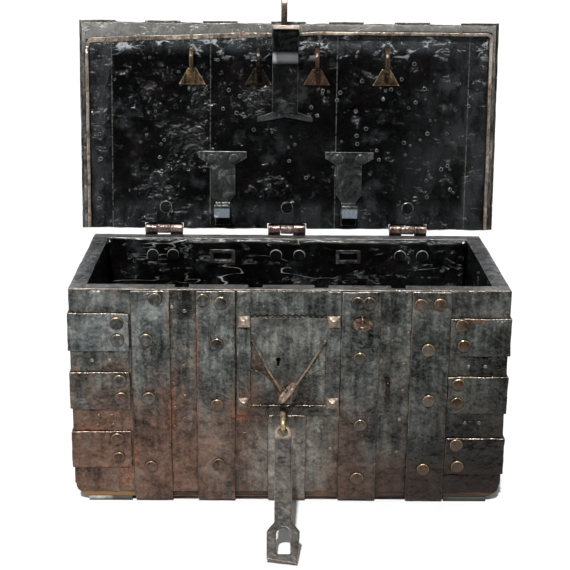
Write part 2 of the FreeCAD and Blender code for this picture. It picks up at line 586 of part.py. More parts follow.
node("bolt_guides", group(*[
    cut(block(centred(place, "guide_width"), ("-inside_y", "-bolt_face + guide_wall"),
              ("bolt_low - guide_wall", "bolt_top + guide_wall")),
        block(centred(place, "(guide_width + 2 * overrun)"),
              ("-bolt_back - guide_clearance", "-bolt_face + guide_clearance"),
              ("bolt_low - guide_clearance", "bolt_top + guide_clearance"))) for place in GUIDES]))
node("tumbler_spring", fuse(
    block((case_x[0] + " + case_wall", case_x[0] + " + case_wall + spring_length"),
          centred("-inside_y + case_depth / 2", "spring_width"),
          (case_low + " + case_wall + spring_length",
           case_low + " + case_wall + spring_length + spring_thickness")),
    block((case_x[0] + " + case_wall", case_x[0] + " + case_wall + spring_thickness"),
          centred("-inside_y + case_depth / 2", "spring_width"),
          (case_low + " + case_wall", case_low + " + case_wall + spring_length"))))

# Bolt bar: a comb whose prongs run into the staples of the closed lid
bolt_y = ("-bolt_back", "-bolt_face")
bolt_x = (BOLT_STAPLES[0] + " - bolt_staple_bar - prong_length - prong_post",
          BOLT_STAPLES[-1] + " - bolt_staple_bar")
bolt_solids = [block(bolt_x, bolt_y, ("bolt_low", "bolt_top"))]
for place in BOLT_STAPLES:
    tip = place + " - bolt_staple_bar"
    bolt_solids.append(block((f"{tip} - prong_length", tip), bolt_y, ("prong_low", "prong_top")))
    bolt_solids.append(block((f"{tip} - prong_length", f"{tip} - prong_length + prong_post"), bolt_y,
                             ("bolt_top", "prong_top")))
tail_y = ("-bolt_back + guide_clearance", "-bolt_back + guide_clearance + tail_thickness")
bolt_solids.append(block(tail_x, tail_y, ("bolt_low - tail_length", "bolt_low")))
node("bolt_bar", fuse(*bolt_solids))


# The hasp hangs on the staple's bend and rests swung out, with its tip on the floor
def hasp():
    half, head = v.hasp_width / 2, v.hasp_head_width / 2
    shoulder = -v.hasp_neck_end
    tip = -v.hasp_length
    outline = [(-half, 0), (-half, shoulder), (-head, shoulder - v.hasp_shoulder), (-head, tip + v.hasp_skew),
               (head - v.hasp_skew / 2, tip), (head, shoulder - v.hasp_shoulder), (half, shoulder), (half, 0)]
    thick = v.hasp_thickness
    body = plate_y(outline, thick / 2, thick)
    body = body.fuse(Part.makeCylinder(half, thick, Vector(0, thick / 2, 0), Vector(0, -1, 0)))
    slot_half = v.hasp_slot_width / 2
    slot_low = -v.hasp_slot_centre - v.hasp_slot_length / 2
    slot_high = -v.hasp_slot_centre + v.hasp_slot_length / 2 - slot_half
    slot = plate_y([(-slot_half, slot_low), (slot_half, slot_low), (slot_half, slot_high),
                    (-slot_half, slot_high)], thick, 2 * thick)
    slot = slot.fuse(Part.makeCylinder(slot_half, 2 * thick, Vector(0, thick, slot_high), Vector(0, -1, 0)))
    hole = Part.makeCylinder(v.hasp_hole, 2 * thick, Vector(0, thick, 0), Vector(0, -1, 0))
    return body.cut(slot).cut(hole).removeSplitter()


hasp_reach = v.hasp_hang + v.hasp_length
hasp_swing = (math.acos((v.hasp_z - v.hasp_floor_gap) / math.hypot(hasp_reach, v.hasp_thickness / 2))
              + math.atan2(v.hasp_thickness / 2, hasp_reach))
hasp_turn = Rotation(Vector(1, 0, 0), -math.degrees(hasp_swing))
pivot = Vector(v.hasp_centre, -v.hasp_y, v.hasp_z)
node("hasp", formed(hasp()), Placement(pivot + hasp_turn.multVec(Vector(0, 0, -v.hasp_hang)), hasp_turn))

# Pull ring, standing out from its staple
ring = Part.makeTorus(v.pull_ring_radius, v.pull_ring_bar, Vector(0, 0, -v.pull_ring_radius), Vector(0, 1, 0))
node("pull_ring", formed(ring), Placement(Vector(v.ring_staple_x, ring_y, v.ring_staple_z),
                                          Rotation(Vector(1, 0, 0), -v.pull_ring_angle)))


# Oval link with its near long side in the staple
def oval_link():
    half, bend = v.link_straight / 2, v.link_bend
    corners = [Vector(x, 0, z) for x, z in ((half, 0), (-half, 0), (-half, -2 * bend), (half, -2 * bend))]
    edges = [Part.makeLine(corners[0], corners[1]),
             Part.Arc(corners[1], Vector(-half - bend, 0, -bend), corners[2]).toShape(),
             Part.makeLine(corners[2], corners[3]),
             Part.Arc(corners[3], Vector(half + bend, 0, -bend), corners[0]).toShape()]
    return bent_bar(edges, v.link_bar)


# Turned so that its long sides follow the leaning line, then swung out from the front
lean = Rotation(Vector(0, 1, 0), v.link_lean - 90)
swing = Rotation(link_line, -v.link_angle)
node("shield_link", formed(oval_link()), Placement(link_eye, swing.multiply(lean)))

# Lid board and sheets, all set out closed
hinge_notches = fuse(*[
    block(across(share, "(hinge_width + 2 * notch_side)"), ("lid_back - notch_behind", "lid_back + overrun"),
          ("lid_low - overrun", "lid_top + overrun / 2")) for share in HINGE_SHARES])
edge_x, edge_front, edge_back = (side + " - skin_thickness" for side in ("lid_x", "lid_front", "lid_back"))
node("lid_board", cut(block((f"-({edge_x})", edge_x), (f"-({edge_front})", edge_back),
                            ("lid_board_low", "lid_board_top")), hinge_notches), lid_open)
node("lid_cladding", cut(block(("-lid_x", "lid_x"), ("-lid_front", "lid_back"), ("lid_low", "lid_top")),
                         block((f"-({edge_x})", edge_x), (f"-({edge_front})", edge_back),
                               ("lid_low - overrun", "lid_board_top")), hinge_notches), lid_open)
node("lid_lining", cut(block(("-ridge_out_x", "ridge_out_x"), ("-ridge_out_y", edge_back),
                             ("lid_low", "lid_board_low")), hinge_notches), lid_open)
node("lid_border", cut(block((f"-({edge_x})", edge_x), (f"-({edge_front})", edge_back),
                             ("lid_low", "lid_board_low")),
                       block(("-ridge_out_x", "ridge_out_x"), ("-ridge_out_y", "lid_back + overrun"),
                             ("lid_low - overrun", "lid_board_low + overrun"))), lid_open)


# Ridge strip round three sides of the lid's inner face, with round corners and a gap at the bracket
def ridge():
    depth = v.lid_back - v.skin_thickness
    loops = []
    for x, y, corner in ((v.ridge_out_x, v.ridge_out_y, v.ridge_corner),
                         (v.ridge_x, v.ridge_y, v.ridge_corner - v.ridge_width)):
        slab = Part.makeBox(2 * x, y + depth, v.ridge_drop, Vector(-x, -y, v.lid_low - v.ridge_drop))
        front = [edge for edge in slab.Edges if abs(edge.CenterOfMass.y + y) < v.pin_clearance
                 and abs(abs(edge.CenterOfMass.x) - x) < v.pin_clearance]
        loops.append(slab.makeFillet(corner, front))
    gap_half = v.bracket_width / 2 + v.ridge_gap
    gap = Part.makeBox(2 * gap_half, 2 * v.ridge_corner, 2 * v.ridge_drop,
                       Vector(v.inner_strap_centre - gap_half, -v.ridge_y - v.ridge_corner,
                              v.lid_low - 1.5 * v.ridge_drop))
    return loops[0].cut(loops[1]).cut(gap)


node("lid_ridge", formed(ridge()), lid_open)


# Outer straps of the lid lap over its front edge
def lid_strap(wide):
    return fuse(block(wide, ("-(lid_front + strap_thickness)", "lid_back"), ("lid_top", "lid_strap_top")),
                block(wide, ("-(lid_front + strap_thickness)", "-lid_front"), ("lid_low", "lid_strap_top")))


def lid_hinge_strap(share):
    middle = across(share, "knuckle")
    web = block(middle, ("hinge_y - barrel_radius", "hinge_y"), ("hinge_z + pin_radius", "lid_strap_top"))
    knuckle = rod("barrel_radius", x=middle, y="hinge_y", z="hinge_z")
    bore = rod("pin_radius + pin_clearance", x=across(share, "hinge_width"), y="hinge_y", z="hinge_z")
    return cut(fuse(lid_strap(across(share, "strap_width")), web, knuckle), bore)


node("lid_hinge_straps", group(*[lid_hinge_strap(share) for share in HINGE_SHARES]), lid_open)
node("lid_plain_straps", group(
    *[lid_strap(across(share, "strap_width")) for share in LID_STRAP_SHARES],
    *[fuse(lid_strap(at_side(side, "lid_x - strap_width", "lid_x + strap_thickness")),
           block(at_side(side, "lid_x", "lid_x + strap_thickness"),
                 ("-(lid_front + strap_thickness)", "lid_back"), ("lid_low", "lid_strap_top")))
      for side in (-1, 1)]), lid_open)


# Inner centre strap, ending in a fishtail
def inner_strap():
    half, flare = v.inner_strap_width / 2, v.fishtail_width / 2
    centre = v.inner_strap_centre
    end = v.inner_strap_end
    neck = end - v.fishtail_length
    outline = [(centre - half, -v.bracket_y), (centre - half, neck - v.fishtail_length),
               (centre - flare, neck), (centre - flare, end), (centre, neck), (centre + flare, end),
               (centre + flare, neck), (centre + half, neck - v.fishtail_length),
               (centre + half, -v.bracket_y)]
    return plate_z(outline, v.lid_low, v.inner_strap_thickness)


node("lid_inner_strap", formed(inner_strap()), lid_open)


# Bolt staple: a tapered foot and a loop whose opening looks along the chest
def bolt_staple(place):
    x, bar = getattr(v, place), v.bolt_staple_bar
    start, length = -v.bolt_staple_start, v.bolt_staple_length
    foot = plate_z([(x - bar, start - bar), (x + bar, start - bar),
                    (x + v.bolt_foot_width / 2, v.bolt_foot_end),
                    (x - v.bolt_foot_width / 2, v.bolt_foot_end)],
                   v.lid_low, v.bolt_foot_thickness)

    def arch(inset):
        radius = length / 2 - inset
        flat = v.bolt_staple_drop - length / 2
        round_end = Part.makeCylinder(radius, bar, Vector(x - bar / 2, start - length / 2, v.lid_low - flat),
                                      Vector(1, 0, 0))
        legs = Part.makeBox(bar, 2 * radius, flat,
                            Vector(x - bar / 2, start - length / 2 - radius, v.lid_low - flat))
        return round_end.fuse(legs)

    above = Part.makeBox(2 * bar, 2 * length, length, Vector(x - bar, start - 1.5 * length, v.lid_low))
    return arch(0).cut(arch(bar)).cut(above).fuse(foot).removeSplitter()


node("lid_staples", formed(Part.makeCompound([bolt_staple(place) for place in BOLT_STAPLES])), lid_open)


# Rear hook: a T plate on the lid and an arm whose lip enters the back wall
def rear_hook(share):
    x, back, low = share * v.body_x, v.lid_back, v.lid_low
    top, neck, tab = v.hook_top_width / 2, v.hook_neck_width / 2, v.hook_tab_width / 2
    taper = (v.hook_top_end - v.hook_top_start) / 2
    outline = [(-top, v.hook_top_end), (top, v.hook_top_end), (top, v.hook_top_end - taper),
               (neck, v.hook_top_start), (neck, v.hook_neck_start + taper), (tab, v.hook_neck_start),
               (tab, v.hook_tab_start), (-tab, v.hook_tab_start), (-tab, v.hook_neck_start),
               (-neck, v.hook_neck_start + taper), (-neck, v.hook_top_start), (-top, v.hook_top_end - taper)]
    body = plate_z([(x + across, back - along) for across, along in outline], low, v.hook_thickness)
    arm = Part.makeBox(2 * tab, v.hook_arm_thickness, v.hook_drop,
                       Vector(x - tab, back - v.hook_arm_start - v.hook_arm_thickness, low - v.hook_drop))
    lip = Part.makeBox(2 * tab, v.hook_lip + v.hook_arm_thickness, v.hook_lip_thickness,
                       Vector(x - tab, back - v.hook_arm_start - v.hook_arm_thickness, low - v.hook_drop))
    return body.fuse([arm, lip]).removeSplitter()


node("lid_hooks", formed(Part.makeCompound([rear_hook(share) for share in HOOK_SHARES])), lid_open)

# Bracket on the lid's front edge and the padlock eye on it
node("hasp_bracket", group(block(centred("inner_strap_centre", "bracket_width"),
                                 ("-bracket_y - bracket_thickness", "-bracket_y"),
                                 ("lid_low - bracket_length", "lid_low"))), lid_open)


# Padlock eye: a flat loop that passes through the slot of the raised hasp
def lid_eye():
    foot = -v.bracket_y - v.bracket_thickness
    width = Vector(v.eye_width, 0, 0)

    def loop(inset, foot_y):
        radius = v.eye_height / 2 - inset
        turn_y = foot - v.eye_reach + v.eye_height / 2
        corner = Vector(v.hasp_centre - v.eye_width / 2, turn_y, v.eye_level - radius)
        legs = Part.makeBox(v.eye_width, foot_y - turn_y, 2 * radius, corner)
        end = Part.makeCylinder(radius, v.eye_width, corner + Vector(0, 0, radius), width)
        return legs.fuse(end)

    return loop(0, foot).cut(loop(v.eye_bar, foot - v.eye_bar)).removeSplitter()


node("lid_eye", formed(lid_eye()), lid_open)

# Rivets of the lid: on the outer straps, on the ridge, on the hooks and on the lining
LID_RIVET_SHARES = (0.06, 0.35, 0.65, 0.93)
RIDGE_RIVET_SHARES = (-0.79, -0.47, -0.228, 0.165, 0.495, 0.82)
RIDGE_SIDE_SHARES = (0.07, 0.38, 0.70)
LID_SHALLOW_SHARES = (-0.63, -0.004, 0.62)
lid_length = v.lid_front + v.lid_back
lid_rivets = []
end_strap_centre = v.lid_x - v.strap_width / 2
strap_centres = [share * v.body_x for share in HINGE_SHARES + LID_STRAP_SHARES]
for x in strap_centres + [-end_strap_centre, end_strap_centre]:
    for share in LID_RIVET_SHARES:
        foot = (x, v.lid_back - share * lid_length, v.lid_strap_top)
        lid_rivets.append(dome(v.rivet_radius, v.rivet_rise, foot, (0, 0, 1)))
ridge_foot = v.lid_low - v.ridge_drop
ridge_half = v.ridge_width / 2
for share in RIDGE_RIVET_SHARES:
    foot = (share * v.lid_x, -v.ridge_y - ridge_half, ridge_foot)
    lid_rivets.append(dome(v.ridge_rivet_radius, v.nail_rise, foot, (0, 0, -1)))
for side in (-1, 1):
    for share in RIDGE_SIDE_SHARES:
        foot = (side * (v.ridge_x + ridge_half), v.lid_back - share * lid_length, ridge_foot)
        lid_rivets.append(dome(v.ridge_rivet_radius, v.nail_rise, foot, (0, 0, -1)))
for share in HOOK_SHARES:
    for side in (-1, 1):
        foot = (share * v.body_x + side * v.hook_rivet_pitch / 2,
                v.lid_back - (v.hook_top_start + v.hook_top_end) / 2, v.lid_low - v.hook_thickness)
        lid_rivets.append(dome(v.hook_rivet_radius, v.hook_rivet_rise, foot, (0, 0, -1)))
for share in LID_SHALLOW_SHARES:
    foot = (share * v.body_x, v.lid_back - v.hook_arm_start, v.lid_low)
    lid_rivets.append(dome(v.shallow_radius, v.shallow_rise, foot, (0, 0, -1)))
node("lid_rivets", formed(Part.makeCompound(lid_rivets)), lid_open)

# Every object and every shape is checked before anything is written
doc.recompute()
for obj in doc.Objects:
    if "Invalid" in obj.State or "Error" in obj.State:
        raise RuntimeError(f"{obj.Name} ({obj.Label}) failed: {obj.State}")
for obj in pieces:
    shape = obj.Shape
    if shape.isNull() or not shape.isValid() or not shape.Solids:
        raise RuntimeError(f"{obj.Label} has no valid solid")
os.makedirs("parts", exist_ok=True)
for obj in pieces:
    obj.Shape.exportStep(f"parts/{obj.Label}.step")
    print(obj.Label, len(obj.Shape.Solids), round(obj.Shape.Volume))
print("hasp swung out by", round(math.degrees(hasp_swing), 3), "pieces", len(pieces))
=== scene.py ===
# Iron-bound strong chest: forged plates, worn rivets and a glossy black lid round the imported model
import json
import math
import random

import bmesh
import bpy
from mathutils import Matrix, Vector, noise


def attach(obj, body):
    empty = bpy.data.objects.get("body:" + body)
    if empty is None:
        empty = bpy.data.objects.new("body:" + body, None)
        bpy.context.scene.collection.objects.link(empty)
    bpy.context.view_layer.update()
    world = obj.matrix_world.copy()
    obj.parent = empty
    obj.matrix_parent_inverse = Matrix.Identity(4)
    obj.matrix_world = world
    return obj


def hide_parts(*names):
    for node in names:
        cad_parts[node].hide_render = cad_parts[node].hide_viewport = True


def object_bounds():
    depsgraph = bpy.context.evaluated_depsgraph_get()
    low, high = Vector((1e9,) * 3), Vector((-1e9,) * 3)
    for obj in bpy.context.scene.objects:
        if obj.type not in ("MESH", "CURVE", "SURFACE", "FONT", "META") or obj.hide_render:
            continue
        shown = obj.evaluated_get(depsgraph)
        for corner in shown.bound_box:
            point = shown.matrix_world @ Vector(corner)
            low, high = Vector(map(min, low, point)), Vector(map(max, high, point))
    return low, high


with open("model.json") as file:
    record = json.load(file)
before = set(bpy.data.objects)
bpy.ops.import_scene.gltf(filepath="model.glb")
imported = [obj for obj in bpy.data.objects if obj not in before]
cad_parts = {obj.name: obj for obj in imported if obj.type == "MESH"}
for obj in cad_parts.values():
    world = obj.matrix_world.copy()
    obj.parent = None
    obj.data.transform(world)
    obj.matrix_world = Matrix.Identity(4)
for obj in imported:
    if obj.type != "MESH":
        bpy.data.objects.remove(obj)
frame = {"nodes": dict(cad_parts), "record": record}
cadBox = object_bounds()
nodes = frame["nodes"]
bodyOf = {node: body for body, members in frame["record"]["behaviour"]["bodies"].items() for node in members}
mm = 0.001
noise.seed_set(11)  # the same waves and dents on every run

# The lid is worked on as if closed, then turned open about the hinge pins
hinge = {"y": 214 * mm, "z": 468.5 * mm, "open": 97.24}
hingePoint = Vector((0, hinge["y"], hinge["z"]))
lidOpen = (Matrix.Translation(hingePoint) @ Matrix.Rotation(-math.radians(hinge["open"]), 4, "X")
           @ Matrix.Translation(-hingePoint))
lidShut = lidOpen.inverted()

# Camera at the photograph's place: metres, radians and a lens in millimetres
camera = {"place": (-0.0445, -2.6217, 1.213), "pitch": 0.3002, "yaw": -0.0141, "roll": -0.0103, "lens": 81.68,
          "farthest": 200}


def addCamera():
    turn = Matrix.Rotation(camera["yaw"], 3, "Z")
    cosP, sinP = math.cos(camera["pitch"]), math.sin(camera["pitch"])
    ahead = turn @ Vector((0, cosP, -sinP))
    down = turn @ Vector((0, -sinP, -cosP))
    right = turn @ Vector((1, 0, 0))
    cosR, sinR = math.cos(camera["roll"]), math.sin(camera["roll"])
    across, under = cosR * right + sinR * down, -sinR * right + cosR * down
    eye = bpy.data.objects.new("camera", bpy.data.cameras.new("camera"))
    bpy.context.scene.collection.objects.link(eye)
    basis = Matrix((across, -under, -ahead)).transposed().to_4x4()
    eye.matrix_world = Matrix.Translation(Vector(camera["place"])) @ basis
    eye.data.lens = camera["lens"]
    eye.data.clip_end = camera["farthest"]
    bpy.context.scene.camera = eye


def tone(red, green, blue):
    def linear(value):
        value /= 255
        return value / 12.92 if value <= 0.04045 else ((value + 0.055) / 1.055) ** 2.4
    return (linear(red), linear(green), linear(blue), 1.0)


# The nodes of a material or of the world, built up from a few kinds of texture
class Finish:
    def __init__(self, owner, layers=None, shift=0.0):
        owner.use_nodes = True
        self.owner, self.tree = owner, owner.node_tree
        self.layers, self.shift = layers, shift
        self.place = self.node("ShaderNodeTexCoord").outputs["Object"]

    def put(self, socket, value):
        if isinstance(value, bpy.types.NodeSocket):
            self.tree.links.new(value, socket)
        else:
            socket.default_value = value

    def node(self, kind, inputs=(), **settings):
        made = self.tree.nodes.new(kind)
        for key, value in settings.items():
            setattr(made, key, value)
        for key, value in dict(inputs).items():
            self.put(made.inputs[key], value)
        return made

    def maths(self, kind, first, second=0.0):
        return self.node("ShaderNodeMath", {0: first, 1: second}, operation=kind).outputs[0]

    def plus(self, first, *others):
        for other in others:
            first = self.maths("ADD", first, other)
        return first

    def times(self, first, *others):
        for other in others:
            first = self.maths("MULTIPLY", first, other)
        return first

    def vector(self, kind, first, second=(0, 0, 0)):
        return self.node("ShaderNodeVectorMath", {0: first, 1: second}, operation=kind).outputs

    def minus(self, first, second):
        return self.maths("SUBTRACT", first, second)

    def most(self, first, second):
        return self.maths("MAXIMUM", first, second)

    def size(self, value):
        return self.maths("ABSOLUTE", value)

    def noise(self, scale, detail, rough, shift=0.0, stretch=(1, 1, 1), twist=0.0, lift=0.0):
        place = (shift, shift * 0.7, lift - shift)
        moved = self.node("ShaderNodeMapping", {"Vector": self.place, "Scale": stretch, "Location": place})
        return self.node("ShaderNodeTexNoise", {"Vector": moved.outputs[0], "Scale": scale, "Detail": detail,
                                                "Roughness": rough, "Distortion": twist}).outputs["Fac"]

    # One of the finish's own textures, given as (scale, detail, roughness, shift, stretch, twist)
    def layer(self, kind):
        scale, detail, rough, away, *more = self.layers[kind]
        return self.noise(scale, detail, rough, self.shift + away, *more)

    # Slopes of a hammered surface that face up (above zero) or down, for painted light and shade
    def slopes(self, scale, detail, away, reach, tall):
        shift, stretch = self.shift + away, (1, 1, tall)
        here = self.noise(scale, detail, 0.5, shift, stretch)
        return self.minus(here, self.noise(scale, detail, 0.5, shift, stretch, lift=reach))

    def brighter(self, colour, gain):
        return self.node("ShaderNodeHueSaturation", {"Value": gain, "Color": colour}).outputs["Color"]

    def step(self, value, low, high, top=1.0, bottom=0.0):
        return self.node("ShaderNodeMapRange", {"Value": value, "From Min": low, "From Max": high,
                                                "To Min": bottom, "To Max": top},
                         interpolation_type="SMOOTHSTEP").outputs["Result"]

    def ramp(self, value, *stops):
        made = self.node("ShaderNodeValToRGB", {"Fac": value})
        band = made.color_ramp
        while len(band.elements) < len(stops):
            band.elements.new(0.5)
        for element, (place, colour) in zip(band.elements, stops):
            element.position = place
            element.color = colour
        return made.outputs["Color"]

    def blend(self, share, first, second, kind="MIX"):
        made = self.node("ShaderNodeMix", data_type="RGBA", blend_type=kind)
        self.put(made.inputs[0], share)
        self.put(made.inputs[6], first)
        self.put(made.inputs[7], second)
        return made.outputs[2]

    def attribute(self, name):
        return self.node("ShaderNodeAttribute", attribute_name=name).outputs["Fac"]

    def axis(self, index):
        return self.node("ShaderNodeSeparateXYZ", {0: self.place}).outputs[index]

    # How deep a point lies in a hollow, from ambient occlusion, for rust gathered there and for painted shade
    def crevice(self, reach, low, high):
        hollowShade = self.node("ShaderNodeAmbientOcclusion", {"Distance": reach}, samples=8)
        return self.step(hollowShade.outputs["AO"], low, high, 0.0, 1.0)

    # Share along one axis, from where there is none to where it is whole
    def along(self, index, none, whole, top=1.0):
        return self.step(self.axis(index), none, whole, top)

    # Share inside a span of one axis
    def span(self, index, low, high, soft):
        place = self.axis(index)
        above = self.step(place, low - soft, low + soft)
        return self.times(above, self.step(place, high + soft, high - soft))

    # Share near a line through (x, z) that leans by slope metres across per metre up
    def line(self, x, z, slope, half):
        rise = self.times(self.minus(self.axis(2), z), slope)
        off = self.minus(self.minus(self.axis(0), x), rise)
        return self.step(self.size(off), half, half * 0.4)

    # Share near a crease, which is where a texture passes its middle value
    def crease(self, kind, wide, thin, top=1.0):
        return self.step(self.size(self.minus(self.layer(kind), 0.5)), wide, thin, top)

    def zones(self, colour, rows):
        for index, low, high, soft, shade, share in rows:
            colour = self.blend(self.times(self.span(index, low, high, soft), share), colour, shade)
        return colour

    def spot(self, x, z, wide, high):
        moved = self.vector("SUBTRACT", self.place, (x, 0, z))[0]
        sized = self.vector("MULTIPLY", moved, (1 / wide, 0, 1 / high))[0]
        return self.step(self.vector("LENGTH", sized)["Value"], 1.0, 0.2)

    def bump(self, height, depth, strength=1.0, below=None):
        made = self.node("ShaderNodeBump", {"Height": height, "Distance": depth, "Strength": strength})
        if below:
            self.put(made.inputs["Normal"], below)
        return made.outputs[0]

    def done(self, colour, rough, normal, metal=0.0, specular=0.5):
        shader = self.tree.nodes["Principled BSDF"]
        for kind, value in {"Base Color": colour, "Roughness": rough, "Normal": normal, "Metallic": metal,
                            "Specular IOR Level": specular}.items():
            self.put(shader.inputs[kind], value)
        return self.owner


# Textures of the iron, as (scale, detail, roughness, shift, stretch, twist)
ironLayers = {
    "wide": (7, 4, 0.55, 0), "patch": (22, 6, 0.6, 3, (1, 1, 0.75), 0.5), "fine": (210, 8, 0.72, 5),
    "streak": (85, 5, 0.6, 4, (1, 1, 0.13)), "mottle": (85, 5, 0.6, 4), "worn": (11, 6, 0.6, 9, (1, 1, 0.5)),
    "rust": (60, 8, 0.75, 12), "spots": (90, 6, 0.7, 2), "crease": (13, 5, 0.6, 14, (1, 1, 0.45), 0.5),
    "creased": (9, 3, 0.5, 16), "swells": (20, 2, 0.5, 6), "dents": (62, 2, 0.5, 8, (1, 1, 0.8), 0.4),
    "pits": (135, 2, 0.5, 11), "grain": (900, 3, 0.6, 7)}
# What each texture adds to the iron's tone
ironShares = {"patch": 0.26, "wide": 0.26, "fine": 0.22, "streak": 0.26}
# Where the iron changes, and where its painted shade lies, as (axis, none yet, wholly changed) in metres
ironReach = {"left": (0, 0.35, -0.30), "low": (2, 0.42, 0.12), "right": (0, 0.02, 0.40),
             "cool": (0, -0.05, 0.26), "foot": (2, 0.15, 0.03)}
# Painted light and shade on the slopes of hammer marks, as (scale, detail, shift, reach in metres, stretch
# upwards)
ironPaintedSlopes = ((34, 2, 8, 0.005, 0.8), (105, 3, 11, 0.0016, 0.7))
# Depths in metres of the iron's bumps
ironBumps = {"swells": 0.010, "dents": 0.0050, "pits": 0.0022}
# Colours that all the iron shares: rust gathered in hollows, painted shade towards the right and below, the
# painted shadow under a scalloped edge and painted shade in crevices
ironDirtAndShade = {"gathered": (tone(70, 46, 32), tone(128, 80, 54)), "shadeRightLow": tone(88, 76, 66), "cut": tone(12, 9, 8),
            "crevice": tone(9, 7, 6)}
# Places on the front, as (x, z, half width, half height) in metres
greenPlace = (0.0, 0.10, 0.13, 0.17)
rustPlaces = ((-0.240, 0.398, 0.006, 0.045), (-0.183, 0.34, 0.006, 0.10), (-0.330, 0.055, 0.022, 0.045),
              (-0.236, 0.20, 0.008, 0.10), (-0.31, 0.10, 0.008, 0.05), (-0.10, 0.19, 0.03, 0.02),
              (0.37, 0.395, 0.035, 0.009), (0.345, 0.33, 0.004, 0.02), (-0.40, 0.16, 0.05, 0.006))


# Brown towards the bottom, later at the right and less below the lock
def browned(made, look, colour, value, streak):
    low, cool, foot = [made.along(*ironReach[kind]) for kind in ("low", "cool", "foot")]
    fall = made.plus(made.times(low, made.minus(0.5, made.times(cool, 0.44))),
                     made.times(foot, made.times(cool, 0.46)))
    worn = made.plus(fall, made.layer("worn"), made.times(made.minus(streak, 0.5), 0.5))
    brown = made.times(made.step(worn, 0.56, 0.98), look.get("brownShare", 0.9))
    brown = made.times(brown, made.minus(1.0, made.times(made.spot(*greenPlace), 0.62)))
    rich = made.blend(made.along(*ironReach["left"]), look["brown"], look["tan"])
    return made.blend(brown, colour, made.blend(made.step(value, 0.41, 0.57), look["brownDark"], rich))


# Rust in specks, at a few places, and gathered in the corners
def rusted(made, look, colour, patch, fine):
    rust = made.step(made.layer("rust"), 0.68, 0.76)
    if look.get("places"):
        spots = made.step(made.layer("spots"), 0.36, 0.52)
        for place in rustPlaces:
            rust = made.most(rust, made.times(made.spot(*place), spots))
    rust = made.times(rust, look.get("rustShare", 0.7))
    colour = made.blend(rust, colour, made.ramp(fine, (0.4, look["rustDark"]), (0.58, look["rust"])))
    gathered = made.times(made.crevice(0.014, 0.5, 0.97), made.step(patch, 0.42, 0.60), 0.6)
    dark, pale = ironDirtAndShade["gathered"]
    return made.blend(gathered, colour, made.ramp(fine, (0.42, dark), (0.6, pale)))


# Painted light and shade on the slopes of hammer marks, and painted shade in thin creases
def paintedHammerLight(made, look, colour):
    paintedRelief = made.times(made.plus(*[made.slopes(*row) for row in ironPaintedSlopes]), look.get("paintedRelief", 2.3))
    crease = made.times(made.crease("crease", 0.006, 0.001),
                        made.step(made.layer("creased"), 0.5, 0.6, look.get("creases", 0.5)))
    gain = made.minus(made.plus(1.0, paintedRelief), crease)
    return made.brighter(colour, made.most(gain, 0.25))


# A wavy dark line along a plate, the painted shadow under its scalloped edge, as (height, depth of the waves,
# their pitch, half the line's width) in metres
def scalloped(made, middle, deep, pitch, half, colour):
    wave = made.size(made.maths("SINE", made.times(made.axis(0), math.pi / pitch)))
    off = made.size(made.minus(made.axis(2), made.minus(middle, made.times(wave, deep))))
    return made.blend(made.step(off, half, half * 0.3), colour, ironDirtAndShade["cut"])


# Forged iron: streaked dark metal, brown towards the bottom, with painted shade towards the right and below,
# painted light and shade on its hammer marks and in its crevices, and worn edges painted bright where they
# face up
def ironFinish(name, look):
    made = Finish(bpy.data.materials.new(name), ironLayers, look["shift"])
    textures = {kind: made.layer(kind) for kind in ironShares}
    if look.get("mottled"):
        textures["streak"] = made.layer("mottle")
    patch, fine, streak = textures["patch"], textures["fine"], textures["streak"]
    value = made.plus(*[made.times(textures[kind], share) for kind, share in ironShares.items()])
    colour = made.ramp(value, (0.425, look["dark"]), (0.5, look["mid"]), (0.575, look["light"]))
    colour = browned(made, look, colour, value, streak)
    colour = rusted(made, look, colour, patch, fine)
    # Painted sheens: soft pools of light screened over the iron
    for *place, shade, share in look.get("sheens", ()):
        colour = made.blend(made.times(made.spot(*place), share), colour, shade, "SCREEN")
    # Painted shade: darker towards the right, and more so lower down
    if look.get("shadeRightLow"):
        right, low = made.along(*ironReach["right"]), made.along(*ironReach["low"])
        shade = made.times(right, made.plus(0.42, made.times(low, 0.56)))
        colour = made.blend(made.times(shade, look["shadeRightLow"]), colour, ironDirtAndShade["shadeRightLow"], "MULTIPLY")
    colour = made.zones(colour, look.get("zones", ()))
    for *line, shade, share in look.get("lines", ()):
        colour = made.blend(made.times(made.line(*line), share), colour, shade)
    colour = paintedHammerLight(made, look, colour)
    # Worn edges, with a painted highlight where they face up and painted shade where they face sideways or
    # down
    worn = made.attribute("edge")
    edge = made.step(made.times(worn, made.plus(patch, 0.45)), 0.26, 0.78)
    colour = made.blend(made.times(edge, look.get("edgeShare", 0.9)), colour,
                        made.ramp(worn, (0.45, look["edgeDark"]), (0.95, look["edge"])))
    colour = made.zones(colour, look.get("cover", ()))
    if look.get("scallop"):
        colour = scalloped(made, *look["scallop"], colour)
    # Painted shade in crevices and where parts meet
    colour = made.blend(made.times(made.crevice(0.006, 0.45, 0.85), 0.95), colour, ironDirtAndShade["crevice"])
    rough = made.step(value, 0.38, 0.62, *look["rough"])
    normal = None
    for kind, depth in ironBumps.items():
        normal = made.bump(made.layer(kind), depth, look.get("dents", 1.0), normal)
    normal = made.bump(made.layer("grain"), 0.00012, 0.5, normal)
    return made.done(colour, rough, normal, look.get("metal", 0.55))


